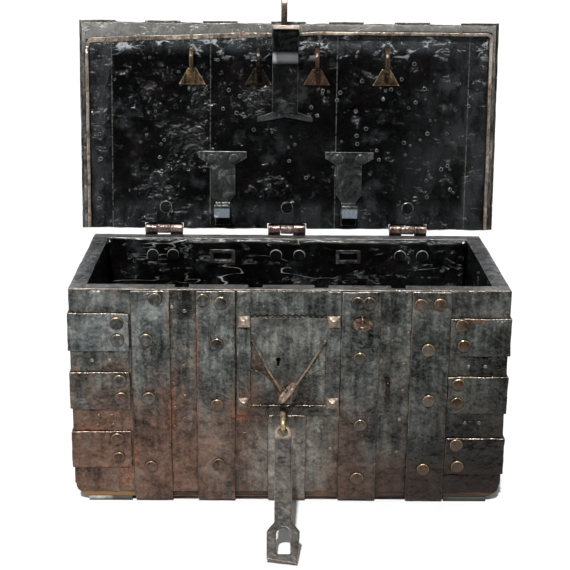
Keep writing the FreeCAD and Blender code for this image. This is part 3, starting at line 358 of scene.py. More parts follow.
# Textures of the black varnish, as (scale, detail, roughness, shift, stretch, twist)
blackLayers = {
    "wide": (5, 4, 0.6, 2), "crumple": (30, 6, 0.62, 4, (1, 1, 1), 1.4), "fine": (150, 5, 0.6, 6),
    "some": (6.5, 5, 0.62, 31), "fold": (11, 6, 0.6, 13, (0.45, 1, 1.7), 0.9), "tint": (11, 6, 0.65, 11),
    "dust": (13, 5, 0.6, 21), "margin": (24, 7, 0.7, 41, (1, 1, 0.4)), "side": (14, 6, 0.66, 43, (1, 1, 0.5)),
    "wrinkleGlint": (34, 6, 0.66, 47, (0.8, 1, 1.5), 0.8), "patches": (42, 5, 0.6, 37),
    "creaseGlint": (7, 3, 0.6, 51, (0.45, 1, 2.2), 0.3), "creaseGlinted": (9, 4, 0.6, 57),
    "speck": (170, 4, 0.7, 61, (1, 1, 1.6), 0.8), "specked": (12, 4, 0.6, 63)}
# Colours that all the varnish shares: dust, painted highlights on wrinkles, a seam colour, painted glints on
# creases and walls, painted sparkles and painted shade in crevices
blackMarks = {"dust": tone(58, 62, 63), "wrinkleGlint": tone(168, 172, 174), "seam": tone(92, 94, 90),
              "glint": tone(150, 155, 156), "creaseGlint": tone(196, 196, 192), "speck": tone(128, 132, 132),
              "crevice": tone(3, 3, 3)}
# Places inside the open lid, as (axis, none yet, whole, share) in metres, and its seams across
lidReach = {"inside": (2, 0.462, 0.475, 1.0), "foot": (2, 0.545, 0.505, 0.5), "head": (2, 0.85, 0.875, 0.8),
            "wrinkles": (2, 0.838, 0.868, 1.0), "right": (0, 0.18, 0.40, 0.45)}
lidSides = (0.384, 0.398, 0.5)
lidSeams = (-0.392, -0.174, 0.106, 0.398)


# Black varnished sheet: glossy, crumpled in places, with painted glints along its creases and painted
# sparkles. A lining is greyer at the lid's margins and towards its right, has painted highlights on the
# wrinkles below the lid's head and painted glints along creases on the walls
def blackFinish(name, look):
    made = Finish(bpy.data.materials.new(name), blackLayers)
    lining, glow = look.get("creaseGlints"), look.get("glint", 0.8)
    wide, crumple, fine = made.layer("wide"), made.layer("crumple"), made.layer("fine")
    value = made.plus(made.times(crumple, 0.6), made.times(wide, 0.4))
    colour = made.ramp(value, (0.38, look["dark"]), (0.5, look["mid"]), (0.64, look["light"]))
    colour = made.blend(made.step(made.layer("tint"), 0.5, 0.68, 0.6), colour, look["tint"])
    dust = made.times(made.step(made.layer("dust"), 0.55, 0.72), look.get("dustShare", 0.4))
    some, patches = made.step(made.layer("some"), 0.52, 0.68), made.layer("patches")
    if lining:
        inside, foot, head, wrinkled, right = [made.along(*row) for row in lidReach.values()]
        side = made.step(made.size(made.axis(0)), *lidSides)
        margin = made.times(made.most(side, made.most(foot, head)), inside)
        walls = made.minus(1.0, inside)
        some = made.most(some, made.most(margin, made.minus(0.4, inside)))
        patches = made.plus(patches, made.times(made.most(walls, head), 0.05))
        grey = made.most(made.times(margin, made.step(made.layer("margin"), 0.36, 0.66)),
                         made.times(right, made.step(made.layer("side"), 0.44, 0.68)))
        dust = made.most(dust, grey)
    colour = made.blend(dust, colour, look.get("dust", blackMarks["dust"]))
    if lining:
        # Painted highlights on the wrinkles below the lid's head
        lit = made.times(made.step(made.layer("wrinkleGlint"), 0.55, 0.63, 0.85), wrinkled, inside)
        colour = made.blend(lit, colour, blackMarks["wrinkleGlint"])
        for x in lidSeams:
            seam = made.times(made.line(x, 0.7, 0.004, 0.0016), made.step(fine, 0.36, 0.56, 0.6), inside)
            colour = made.blend(seam, colour, blackMarks["seam"])
    # Painted glints along creases, in patches
    folded = made.step(patches, 0.54, 0.66)
    fold = made.size(made.minus(made.layer("fold"), 0.5))
    glint = made.times(made.step(fold, 0.010, 0.001), folded, some, glow)
    colour = made.blend(glint, colour, blackMarks["glint"])
    # Painted glints along thin creases on the walls of the lining
    if lining:
        creaseGlint = made.times(made.crease("creaseGlint", 0.006, 0.0015, lining),
                           made.step(made.layer("creaseGlinted"), 0.48, 0.6), walls)
        colour = made.blend(creaseGlint, colour, blackMarks["creaseGlint"])
    # Painted sparkles: small specks of light
    speck = made.times(made.step(made.layer("speck"), 0.66, 0.73),
                       made.step(made.layer("specked"), 0.50, 0.64, glow))
    colour = made.blend(speck, colour, blackMarks["speck"])
    colour = made.zones(colour, look.get("zones", ()))
    # Worn edges, with a painted highlight where they face up
    edge = made.step(made.times(made.attribute("edge"), made.plus(crumple, 0.3)), 0.3, 0.75)
    colour = made.blend(made.times(edge, look.get("edgeShare", 0.7)), colour, look["edge"])
    # Painted shade in crevices
    colour = made.blend(made.times(made.crevice(0.007, 0.4, 0.85), 0.92), colour, blackMarks["crevice"])
    smooth, dull = look["rough"]
    rough = made.step(made.plus(made.times(fine, 0.5), made.times(wide, 0.5)), 0.40, 0.60, dull, smooth)
    normal = made.bump(made.times(crumple, made.plus(some, 0.07)), look.get("depth", 0.0075), 0.95)
    crease = made.most(made.step(fold, 0.0, 0.05), made.minus(1.0, folded))
    normal = made.bump(crease, 0.0012, 0.8, normal)
    normal = made.bump(fine, 0.0004, 0.5, normal)
    return made.done(colour, rough, normal, look.get("metal", 0.0))


# Dry dark oak, grained along the boards, with painted shade in its hollows
def oakFinish(name, look):
    made = Finish(bpy.data.materials.new(name))
    stretch = look["stretch"]
    rings = made.noise(36, 6, 0.6, 1, stretch, 0.8)
    fibre = made.noise(260, 5, 0.7, 5, stretch)
    value = made.plus(made.times(rings, 0.6), made.times(fibre, 0.4))
    colour = made.ramp(value, (0.36, look["dark"]), (0.5, look["mid"]), (0.64, look["light"]))
    colour = made.blend(made.step(made.noise(8, 3, 0.5, 9), 0.5, 0.7, 0.5), colour, look["dark"])
    # Painted shade in hollows
    hollowShade = made.times(made.crevice(look.get("hollowShade", 0.03), 0.5, 0.95), 0.95)
    colour = made.blend(hollowShade, colour, tone(8, 7, 6))
    colour = made.zones(colour, look.get("zones", ()))
    rough = made.step(fibre, 0.3, 0.7, 0.92, 0.66)
    normal = made.bump(rings, 0.0016, 0.7)
    normal = made.bump(fibre, 0.0006, 0.8, normal)
    return made.done(colour, rough, normal, 0.0, 0.3)


# An iron's tones: three from dark to light, three browns, two rusts and two for its worn edges, the bright
# one painted where an edge faces up and the dark one where it faces sideways or down
def shades(*colours):
    kinds = ("dark", "mid", "light", "brownDark", "brown", "tan", "rustDark", "rust", "edge", "edgeDark")
    return {kind: tone(*colour) for kind, colour in zip(kinds, colours)}


# The irons: shades, roughness and the share of each effect. Zones and covers are (axis, low, high, softness,
# colour, share) in metres, and covers lie over the worn edges too
looks = {
    "sheet": {**shades((34, 35, 33), (80, 82, 78), (127, 129, 122), (56, 40, 32), (82, 63, 52),
                       (104, 74, 58), (84, 54, 38), (150, 92, 60), (218, 200, 180), (120, 92, 70)),
              "rough": (0.46, 0.24), "shift": 1.0, "places": True, "shadeRightLow": 1.0},
    "strap": {**shades((35, 38, 37), (81, 84, 81), (128, 132, 127), (56, 40, 32), (80, 61, 50),
                       (102, 72, 56), (86, 54, 38), (154, 94, 60), (226, 208, 186), (136, 106, 80)),
              "rough": (0.44, 0.22), "shift": 4.0, "places": True, "shadeRightLow": 1.0},
    "rivet": {**shades((34, 34, 32), (72, 72, 68), (118, 117, 111), (46, 35, 29), (72, 56, 46),
                       (92, 68, 54), (84, 48, 30), (130, 78, 48), (198, 170, 134), (124, 92, 64)),
              "rough": (0.42, 0.24), "shift": 7.0, "edgeShare": 0.9, "dents": 0.4,
              "metal": 0.5, "shadeRightLow": 0.5, "paintedRelief": 2.0, "creases": 0.0,
              "zones": ((0, 0.19, 0.47, 0.02, tone(80, 55, 36), 0.45),)},
    "steel": {**shades((36, 37, 36), (60, 60, 57), (92, 90, 85), (40, 33, 28), (58, 49, 41),
                       (80, 67, 56), (72, 48, 34), (104, 70, 50), (196, 186, 168), (122, 106, 88)),
              "rough": (0.48, 0.30), "shift": 9.0, "brownShare": 0.4,
              "rustShare": 0.3, "metal": 0.5, "dents": 0.1, "paintedRelief": 1.5},
    "boss": {**shades((74, 62, 52), (128, 112, 98), (184, 168, 150), (66, 48, 38), (104, 82, 66),
                      (140, 110, 88), (84, 58, 42), (128, 88, 62), (228, 214, 196), (110, 88, 70)),
             "rough": (0.42, 0.24), "shift": 10.0, "brownShare": 0.4,
             "rustShare": 0.3, "metal": 0.45, "dents": 0.3, "paintedRelief": 1.5, "creases": 0.0},
    "copper": {**shades((58, 47, 42), (116, 98, 90), (182, 164, 154), (58, 42, 34), (98, 76, 64),
                        (136, 108, 92), (80, 50, 38), (124, 80, 60), (230, 212, 200), (150, 122, 104)),
               "rough": (0.40, 0.22), "shift": 12.0, "brownShare": 0.45,
               "rustShare": 0.3, "metal": 0.5, "dents": 0.3, "paintedRelief": 1.0, "creases": 0.0},
    "gold": {**shades((70, 56, 40), (140, 120, 88), (206, 188, 150), (60, 44, 30), (110, 86, 60),
                      (150, 124, 92), (80, 54, 36), (130, 92, 60), (236, 220, 190), (166, 138, 104)),
             "rough": (0.38, 0.20), "shift": 13.5, "brownShare": 0.3,
             "rustShare": 0.3, "metal": 0.5, "dents": 0.4},
    "brass": {**shades((40, 31, 22), (96, 78, 54), (190, 166, 120), (34, 26, 20), (62, 48, 36),
                       (104, 82, 58), (58, 40, 26), (96, 66, 40), (226, 208, 168), (130, 104, 74)),
              "rough": (0.38, 0.20), "shift": 13.0, "brownShare": 0.0,
              "rustShare": 0.3, "metal": 0.4, "dents": 0.5,
              "cover": ((2, 0.826, 0.90, 0.003, tone(52, 38, 30), 0.6),
                        (0, -0.11, -0.04, 0.005, tone(13, 12, 12), 0.88),
                        (0, 0.02, 0.10, 0.005, tone(74, 50, 42), 0.7))},
    "rim": {**shades((44, 46, 48), (84, 86, 88), (128, 131, 132), (44, 36, 31), (74, 64, 55),
                     (100, 80, 66), (72, 46, 32), (116, 74, 50), (206, 198, 186), (120, 108, 96)),
            "rough": (0.46, 0.24), "shift": 15.0, "brownShare": 0.3,
            "rustShare": 0.4, "dents": 0.8, "mottled": True,
            "zones": ((1, -0.222, -0.172, 0.004, tone(140, 134, 126), 0.55),)},
    "ridge": {**shades((84, 76, 68), (140, 128, 116), (198, 184, 168), (54, 44, 36), (88, 72, 58),
                       (128, 106, 86), (84, 58, 42), (130, 92, 66), (216, 208, 196), (146, 134, 120)),
              "rough": (0.40, 0.22), "shift": 17.0, "brownShare": 0.2,
              "rustShare": 0.5, "metal": 0.45, "dents": 0.5},
    "shield": {**shades((42, 43, 41), (84, 85, 81), (126, 126, 120), (48, 36, 28), (74, 58, 47),
                        (104, 80, 62), (84, 52, 34), (126, 76, 46), (206, 178, 140), (152, 116, 82)),
               "rough": (0.52, 0.30), "shift": 20.0, "brownShare": 0.55,
               "edgeShare": 0.98},
}
# Painted sheens and pools of light on the front, as (x, z, half width, half height, colour, share)
looks["strap"]["sheens"] = ((-0.37, 0.365, 0.10, 0.07, tone(110, 113, 114), 0.6),
                            (-0.275, 0.41, 0.05, 0.07, tone(100, 106, 110), 0.25),
                            (0.0, 0.09, 0.12, 0.13, tone(110, 106, 98), 0.5),
                            (-0.146, 0.11, 0.06, 0.13, tone(100, 88, 78), 0.35),
                            (-0.20, 0.42, 0.16, 0.03, tone(110, 112, 108), 0.4),
                            (0.24, 0.42, 0.16, 0.03, tone(120, 116, 108), 0.4))
looks["sheet"]["sheens"] = ((-0.37, 0.43, 0.09, 0.03, tone(108, 114, 116), 0.4),
                            (0.0, 0.09, 0.12, 0.13, tone(110, 106, 98), 0.4))
looks["nail"] = dict(looks["rivet"], mid=tone(104, 100, 92), light=tone(160, 154, 142), shadeRightLow=0.3, zones=())
looks["bronze"] = dict(looks["copper"], dark=tone(38, 30, 26), mid=tone(92, 72, 60),
                       light=tone(176, 148, 128))
looks["rust"] = dict(looks["copper"], dark=tone(20, 16, 14), mid=tone(44, 34, 29), light=tone(96, 76, 64),
                     edge=tone(150, 126, 108))
looks["link"] = dict(looks["copper"], dark=tone(84, 66, 56), mid=tone(148, 124, 110),
                     light=tone(220, 202, 188))
looks["hasp"] = dict(looks["steel"], dark=tone(30, 29, 27), mid=tone(50, 47, 43), light=tone(80, 75, 68),
                     cover=((2, 0.172, 0.215, 0.004, tone(150, 130, 112), 0.7),))
looks["leaf"] = dict(looks["copper"], cover=((2, 0.2, 0.447, 0.005, tone(66, 60, 54), 0.8),))
looks["hingeStrap"] = dict(looks["strap"], cover=(
    (2, 0.440, 0.4905, 0.002, tone(122, 104, 95), 0.8), (2, 0.456, 0.466, 0.004, tone(190, 172, 160), 0.55)))
looks["topPlate"] = dict(looks["strap"], scallop=(0.4055, 0.0030, 0.0115, 0.0026), shadeRightLow=0.6)
looks["shield"]["lines"] = ((-0.057, 0.310, -0.68, 0.0024, tone(160, 134, 106), 0.85),
                            (0.048, 0.310, 0.68, 0.0024, tone(160, 134, 106), 0.85))
finishes = {name: ironFinish(name + "Iron", look) for name, look in looks.items()}
finishes["lining"] = blackFinish("liningBlack", {
    "dark": tone(3, 3, 3), "mid": tone(6, 6, 6), "light": tone(15, 15, 15), "tint": tone(16, 10, 10),
    "edge": tone(90, 90, 86), "rough": (0.10, 0.24), "dustShare": 0.5, "creaseGlints": 0.65})
finishes["strapBlack"] = blackFinish("strapBlack", {
    "dark": tone(9, 9, 9), "mid": tone(22, 23, 23), "light": tone(66, 68, 68), "tint": tone(26, 20, 18),
    "edge": tone(170, 172, 170), "rough": (0.12, 0.28), "depth": 0.004, "metal": 0.2, "edgeShare": 0.95,
    # Painted highlights across the inner strap below the bracket and on its fishtail end
    "zones": ((2, 0.839, 0.857, 0.006, tone(178, 180, 182), 0.85),
              (2, 0.708, 0.722, 0.006, tone(84, 88, 90), 0.35))})
finishes["domeBlack"] = blackFinish("domeBlack", {
    "dark": tone(10, 10, 10), "mid": tone(18, 18, 18), "light": tone(36, 36, 35), "tint": tone(26, 21, 19),
    "edge": tone(196, 198, 194), "rough": (0.12, 0.24), "depth": 0.002, "metal": 0.2, "edgeShare": 0.9,
    "glint": 0.0, "zones": ((2, 0.60, 0.65, 0.004, tone(66, 68, 68), 0.7),
                            (2, 0.87, 0.95, 0.002, tone(140, 110, 90), 0.8),
                            (1, 0.272, 0.40, 0.003, tone(26, 26, 25), 0.85),
                            (0, -0.47, -0.436, 0.001, tone(140, 104, 84), 0.8),
                            (0, 0.436, 0.47, 0.001, tone(140, 104, 84), 0.8))})
finishes["hook"] = blackFinish("hookBlack", {
    "dark": tone(30, 31, 31), "mid": tone(62, 64, 64), "light": tone(136, 138, 136), "tint": tone(44, 38, 34),
    "edge": tone(150, 148, 140), "rough": (0.16, 0.32), "depth": 0.002, "metal": 0.4, "edgeShare": 0.9,
    # Painted highlight on the lit end of each hook's arm, and painted shadow below it
    "glint": 0.3, "zones": ((2, 0.504, 0.5275, 0.002, tone(150, 160, 170), 0.85),
                            (2, 0.46, 0.502, 0.002, tone(6, 6, 6), 0.9))})
finishes["bracket"] = blackFinish("bracketBlack", {
    "dark": tone(22, 18, 17), "mid": tone(44, 36, 33), "light": tone(84, 72, 66), "tint": tone(70, 48, 38),
    "edge": tone(190, 168, 152), "rough": (0.16, 0.34), "depth": 0.002, "metal": 0.4, "edgeShare": 0.9,
    # Painted highlight on the bracket's lit end edge
    "glint": 0.0, "zones": ((1, 0.15, 0.1905, 0.002, tone(214, 196, 184), 0.9),)})
finishes["border"] = blackFinish("borderBlack", {
    "dark": tone(38, 38, 37), "mid": tone(84, 84, 81), "light": tone(150, 149, 144), "tint": tone(92, 74, 60),
    "edge": tone(190, 184, 172), "rough": (0.20, 0.40), "metal": 0.35, "edgeShare": 0.85, "depth": 0.003,
    "dust": tone(120, 120, 116), "zones": ((2, 0.872, 1.0, 0.010, tone(164, 162, 157), 0.38),)})
finishes["oak"] = oakFinish("oakBoards", {
    "dark": tone(38, 28, 21), "mid": tone(68, 51, 38), "light": tone(108, 84, 62), "stretch": (0.12, 1, 1),
    "zones": ((0, -0.46, -0.30, 0.03, tone(150, 112, 74), 0.55),)})
finishes["runner"] = oakFinish("runnerOak", {
    "dark": tone(120, 116, 112), "mid": tone(168, 164, 158), "light": tone(206, 203, 198),
    "stretch": (1, 0.12, 1), "hollowShade": 0.012,
    # Painted shade on the runners beyond the lit left end, and on the right runner
    "zones": ((0, -0.362, -0.20, 0.006, tone(40, 34, 30), 0.85),
              (0, 0.2, 0.5, 0.01, tone(26, 24, 22), 0.9))})
print("finishes ready:", len(finishes))


# Net and rounding of the plates: flat below one angle, sharp above the other (degrees), the worn mark on
# rounded edges and how much it grows where they face up, for a painted highlight
netOf = {"weld": 0.02 * mm, "flat": 1.5, "sharp": 35, "worn": 0.62, "highlightUp": 0.38, "cut": 0.01 * mm}


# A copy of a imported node, joined into one closed mesh
def welded(node, shut):
    work = bmesh.new()
    work.from_mesh(nodes[node].data)
    bmesh.ops.remove_doubles(work, verts=work.verts, dist=netOf["weld"])
    if shut:
        bmesh.ops.transform(work, matrix=lidShut, verts=work.verts)
    return work


# Round the edges of a plate, mark them as worn, higher where they face up for a painted highlight, and cut it
# into a net that can be dented
def netted(work, step, rounding, up):
    flat, sharp = math.radians(netOf["flat"]), math.radians(netOf["sharp"])
    bmesh.ops.dissolve_limit(work, angle_limit=flat, verts=work.verts, edges=work.edges)
    worn = work.verts.layers.float.new("edge")
    corners = [edge for edge in work.edges if len(edge.link_faces) == 2 and edge.calc_face_angle(0) > sharp]
    made = bmesh.ops.bevel(work, geom=corners, offset=rounding, segments=2, profile=0.5, affect="EDGES",
                           material=-1, clamp_overlap=True)
    rounded = set(made["faces"])
    work.normal_update()
    for vert in made["verts"]:
        if vert.is_valid and all(face in rounded for face in vert.link_faces):
            vert[worn] = netOf["worn"] + netOf["highlightUp"] * vert.normal.dot(up)
    for axis in range(3):
        places = [vert.co[axis] for vert in work.verts]
        low, high = min(places), max(places)
        count = int((high - low) / step)
        across = Vector([float(index == axis) for index in range(3)])
        for index in range(1, count):
            at = across * (low + (high - low) * index / count)
            bmesh.ops.bisect_plane(work, geom=work.verts[:] + work.edges[:] + work.faces[:],
                                   dist=netOf["cut"], plane_co=at, plane_no=across)


# Slow waves that all the plates share, as (per metre, shift, depth in mm), so that they keep their contact
slowWaves = ((6.0, (0, 0, 0), 0.5), (17.0, (9, 4, 2), 0.45))


def bodyWave(place):
    (pace, away, depth), (pace2, away2, depth2) = slowWaves
    return (noise.noise_vector(place * pace + Vector(away)) * depth * mm
            + noise.noise_vector(place * pace2 + Vector(away2)) * depth2 * mm)


# Uneven hammering of one plate: waves as (per metre, along the plate, across its thickness). The bolt bar
# and its guides are straight along their length, so that one slides in the other
def hammered(work, seed, waves, thin, slides):
    drift = Vector((seed * 3.7, seed * -2.3, seed * 1.9))
    for vert in work.verts:
        move = bodyWave(Vector((0, vert.co.y, vert.co.z)) if slides else vert.co)
        for pace, along, through in waves:
            wave = noise.noise_vector(vert.co * pace + drift)
            move += Vector([wave[axis] * (through if axis == thin else along) for axis in range(3)]) * mm
        vert.co += move


# The raised frame inside the lid isn't straight: it sags towards the left corner, and is beaten flat
# and broad there so that the closed lid clears the rim. Millimetres, with the lid closed
sagOf = {"left": 17, "right": -3.5, "leftEnd": 440, "rightEnd": 60, "edge": -239, "full": -224, "foot": 150,
         "flat": 0.86, "broad": 4, "face": 459.6, "middle": -217.5, "corner": -195, "pressed": 4,
         "pressedRise": 0.35}


def ridgeSag(place):
    x, y = place.x / mm, place.y / mm
    if x < 0:
        drop = sagOf["left"] * min(-x / sagOf["leftEnd"], 1)
    else:
        drop = sagOf["right"] * min(x / sagOf["rightEnd"], 1)
    share = min(max((y - sagOf["edge"]) / (sagOf["full"] - sagOf["edge"]), 0), 1)
    share *= min(max((sagOf["foot"] - y) / (sagOf["foot"] - sagOf["full"]), 0), 1)
    flat = sagOf["flat"] * min(max(drop / 3, 0), 1) * min(max((sagOf["corner"] - y) / 10, 0), 1)
    below = max(sagOf["face"] - place.z / mm, 0)
    wider = sagOf["broad"] * flat if below > 0.8 and y < sagOf["middle"] else 0
    return Vector((0, drop * share - wider, below * flat - 0.5 * share)) * mm


# The worn lower edge of the front sheet, just above the straps' ends: waves as (per metre, depth in mm)
raggedEdge = {"under": 21 * mm, "lift": 2.0, "waves": ((38, 3.4), (150, 1.6)), "seed": 7}


def raggedFoot(work):
    for vert in work.verts:
        if vert.co.z < raggedEdge["under"]:
            lift = raggedEdge["lift"]
            for pace, depth in raggedEdge["waves"]:
                lift += noise.noise(Vector((vert.co.x * pace, 0, raggedEdge["seed"]))) * depth
            vert.co.z += lift * mm


# Forged surface: how strongly bends show as worn, and dents as (per metre, share of the piece's dents)
forgedOf = {"worn": 2.2, "dents": ((45, 1.0), (160, 0.35))}


# Sharp outer curves of a smooth mesh get the worn mark
def curved(work):
    worn = work.verts.layers.float.get("edge") or work.verts.layers.float.new("edge")
    bends = {}
    for vert in work.verts:
        angles = [edge.calc_face_angle_signed(0.0) for edge in vert.link_edges if len(edge.link_faces) == 2]
        bends[vert] = sum(angles) / max(len(angles), 1)
    for vert in work.verts:
        near = [edge.other_vert(vert) for edge in vert.link_edges]
        bend = (bends[vert] * 2 + sum(bends[other] for other in near)) / (2 + len(near))
        vert[worn] = min(max(bend * forgedOf["worn"], 0.0), 1.0)


# A copy of a node remade as one smooth forged body
def forged(fitting, seed, shut):
    work = welded(fitting["node"], shut)
    draft = bpy.data.meshes.new("draft")
    work.to_mesh(draft)
    work.free()
    body = bpy.data.objects.new("draft", draft)
    bpy.context.scene.collection.objects.link(body)
    remesh = body.modifiers.new("remesh", "REMESH")
    remesh.mode = "VOXEL"
    remesh.voxel_size = fitting["voxel"] * mm
    remesh.adaptivity = 0.0
    shaped = bpy.data.meshes.new_from_object(body.evaluated_get(bpy.context.evaluated_depsgraph_get()))
    work = bmesh.new()
    work.from_mesh(shaped)
    bpy.data.objects.remove(body)
    bpy.data.meshes.remove(shaped)
    for _ in range(fitting.get("passes", 2)):
        bmesh.ops.smooth_vert(work, verts=work.verts, factor=0.5, use_axis_x=True, use_axis_y=True,
                              use_axis_z=True)
    drift = Vector((seed * 2.9, seed * 1.3, seed * -3.1))
    (pace, share), (pace2, share2) = forgedOf["dents"]
    work.normal_update()
    swollen = [vert.normal * fitting.get("swell", 0.0) * mm for vert in work.verts]
    for vert, grown in zip(work.verts, swollen):
        vert.co += grown + noise.noise_vector(vert.co * pace + drift) * fitting["dents"] * share * mm
        vert.co += noise.noise_vector(vert.co * pace2 + drift) * fitting["dents"] * share2 * mm
    curved(work)
    return work


# Put the finished mesh in the scene, on its body and in place of its node
def finished(work, name, node, finish, shut):
    if shut:
        bmesh.ops.transform(work, matrix=lidOpen, verts=work.verts)
    low, high = cadBox
    for vert in work.verts:
        for axis in range(3):
            vert.co[axis] = min(max(vert.co[axis], low[axis]), high[axis])
    mesh = bpy.data.meshes.new(name)
    work.to_mesh(mesh)
    work.free()
    mesh.polygons.foreach_set("use_smooth", [True] * len(mesh.polygons))
    mesh.materials.clear()
    mesh.materials.append(finishes[finish])
    piece = bpy.data.objects.new(name, mesh)
    bpy.context.scene.collection.objects.link(piece)
    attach(piece, bodyOf[node])
    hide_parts(node)


# Plates: node, net step and edge rounding in millimetres, waves, thin axis and finish. Where nothing else
# is said, the waves are broad, the plate is thin along Y and it is a strap's iron
broad = ((14, 0.6, 0.7), (48, 0.5, 0.35))
edgy = ((14, 1.1, 0.5), (42, 1.2, 0.35), (110, 0.5, 0.15))
plates = {
    "frontSheet": {"node": "cladding_front", "step": 10, "round": 0.8, "finish": "sheet", "ragged": True},
    "backSheet": {"node": "cladding_back", "step": 14, "round": 0.5, "finish": "sheet"},
    "endSheets": {"node": "cladding_ends", "step": 14, "round": 0.5, "thin": 0, "finish": "sheet"},
    "wallLining": {"node": "lining_walls", "step": 13, "round": 0.4, "finish": "lining"},
    "floorLining": {"node": "lining_floor", "step": 14, "round": 0.4, "thin": 2, "finish": "lining"},
    "rimCap": {"node": "rim_cap", "step": 8, "round": 1.3, "waves": ((14, 0.8, 0.3), (50, 0.9, 0.2)),
               "thin": 2, "finish": "rim"},
    "lockFrame": {"node": "lock_frame", "step": 7, "round": 1.5},
    "scallopedPlate": {"node": "scalloped_plate", "step": 7, "round": 0.8, "waves": edgy,
                       "finish": "topPlate"},
    "shieldPlate": {"node": "shield_plate", "step": 7, "round": 1.0, "waves": edgy, "finish": "shield"},
    "lowerLockPlates": {"node": "lower_lock_plates", "step": 7, "round": 0.6},
    "hookCatches": {"node": "hook_catches", "step": 5, "round": 0.5, "waves": edgy, "finish": "hook"},
    "lockCase": {"node": "lock_case", "step": 12, "round": 0.7, "waves": ((30, 0.3, 0.3),), "finish": "rim"},
    "boltGuides": {"node": "bolt_guides", "step": 8, "round": 0.9, "waves": ((60, 0.12, 0.05),),
                   "finish": "steel", "slides": True},
    "tumblerSpring": {"node": "tumbler_spring", "step": 6, "round": 0.4, "waves": ((60, 0.2, 0.2),),
                      "finish": "steel"},
    "boltBar": {"node": "bolt_bar", "step": 9, "round": 1.2, "waves": ((40, 0.05, 0.05),), "finish": "steel",
                "slides": True},
    "lidSheet": {"node": "lid_cladding", "step": 10, "round": 0.8, "waves": ((14, 1.6, 0.6), (48, 1.6, 0.35)),
                 "thin": 2, "finish": "sheet"},
    "lidLining": {"node": "lid_lining", "step": 9, "round": 0.4, "waves": ((10, 0.4, 0.6), (34, 0.5, 0.45)),
                  "thin": 2, "finish": "lining"},
    "lidBorder": {"node": "lid_border", "step": 8, "round": 0.5, "waves": ((20, 1.0, 0.6), (60, 0.9, 0.4)),
                  "thin": 2, "finish": "border", "sags": True},
    "lidRidge": {"node": "lid_ridge", "step": 7, "round": 1.6, "waves": ((14, 0.6, 0.2), (60, 0.3, 0.3)),
                 "thin": 2, "finish": "ridge", "sags": True},
    "innerStrap": {"node": "lid_inner_strap", "step": 7, "round": 0.9,
                   "waves": ((22, 0.7, 0.15), (70, 0.5, 0.1)), "thin": 2, "finish": "strapBlack"},
    "lidPlainStraps": {"node": "lid_plain_straps", "step": 11, "round": 1.1,
                       "waves": ((16, 0.8, 0.6), (50, 0.8, 0.5)), "thin": 2},
    "lidHingeStraps": {"node": "lid_hinge_straps", "step": 10, "round": 1.1,
                       "waves": ((16, 0.5, 0.2), (50, 0.5, 0.1)), "thin": 2, "finish": "hingeStrap"},
}
bent = ["strap_" + name for name in ("far_left", "left", "centre", "right", "far_right")]
bent += [f"band_{end}_{level}" for end in ("left", "right") for level in ("low", "middle", "high")]
for name in bent:
    plates[name + "Plate"] = {"node": name, "step": 9, "round": 1.8, "waves": edgy}

for seed, (name, plate) in enumerate(plates.items(), start=1):
    shut = bodyOf[plate["node"]] == "lid"
    up = lidShut.to_3x3() @ Vector((0, 0, 1)) if shut else Vector((0, 0, 1))
    work = welded(plate["node"], shut)
    netted(work, plate["step"] * mm, plate["round"] * mm, up)
    hammered(work, seed, plate.get("waves", broad), plate.get("thin", 1), "slides" in plate)
    if "sags" in plate:
        for vert in work.verts:
            vert.co += ridgeSag(vert.co)
    if "ragged" in plate:
        raggedFoot(work)
    finished(work, name, plate["node"], plate.get("finish", "strap"), shut)
print("plates ready:", len(plates))

# Forged fittings: node, voxel in millimetres, smoothing passes (2 where not said), dents and swell in
# millimetres, and finish
fittings = {
    "cornerBosses": {"node": "corner_bosses", "voxel": 0.9, "passes": 14, "dents": 0.5, "finish": "boss"},
    "haspPlate": {"node": "hasp", "voxel": 1.3, "dents": 0.35, "finish": "hasp"},
    "haspStaple": {"node": "hasp_staple", "voxel": 0.8, "dents": 0.25, "finish": "gold", "swell": 1.2},
    "ringStaple": {"node": "ring_staple", "voxel": 0.7, "dents": 0.15, "finish": "bronze"},
    "sideStaple": {"node": "side_staple", "voxel": 0.8, "dents": 0.25, "finish": "rust", "swell": 1.0},
    "linkStaple": {"node": "link_staple", "voxel": 0.7, "dents": 0.12, "finish": "steel"},
    "pullRing": {"node": "pull_ring", "voxel": 0.9, "dents": 0.3, "finish": "bronze", "swell": 0.8},
    "shieldLink": {"node": "shield_link", "voxel": 0.9, "dents": 0.3, "finish": "link", "swell": 0.5},
    "hingeLeaves": {"node": "hinge_leaves", "voxel": 1.6, "dents": 0.3, "finish": "leaf"},
    "hingePins": {"node": "hinge_pins", "voxel": 0.9, "passes": 1, "dents": 0.02, "finish": "copper"},
    "rearHooks": {"node": "lid_hooks", "voxel": 1.2, "dents": 0.4, "finish": "hook"},
    "boltStaples": {"node": "lid_staples", "voxel": 1.1, "dents": 0.3, "finish": "brass"},
    "padlockEye": {"node": "lid_eye", "voxel": 1.1, "dents": 0.35, "finish": "copper"},
    "frontBracket": {"node": "hasp_bracket", "voxel": 1.2, "dents": 0.4, "finish": "bracket"},
}
for seed, (name, fitting) in enumerate(fittings.items(), start=41):
    shut = bodyOf[fitting["node"]] == "lid"
    finished(forged(fitting, seed, shut), name, fitting["node"], fitting["finish"], shut)
print("fittings ready:", len(fittings))

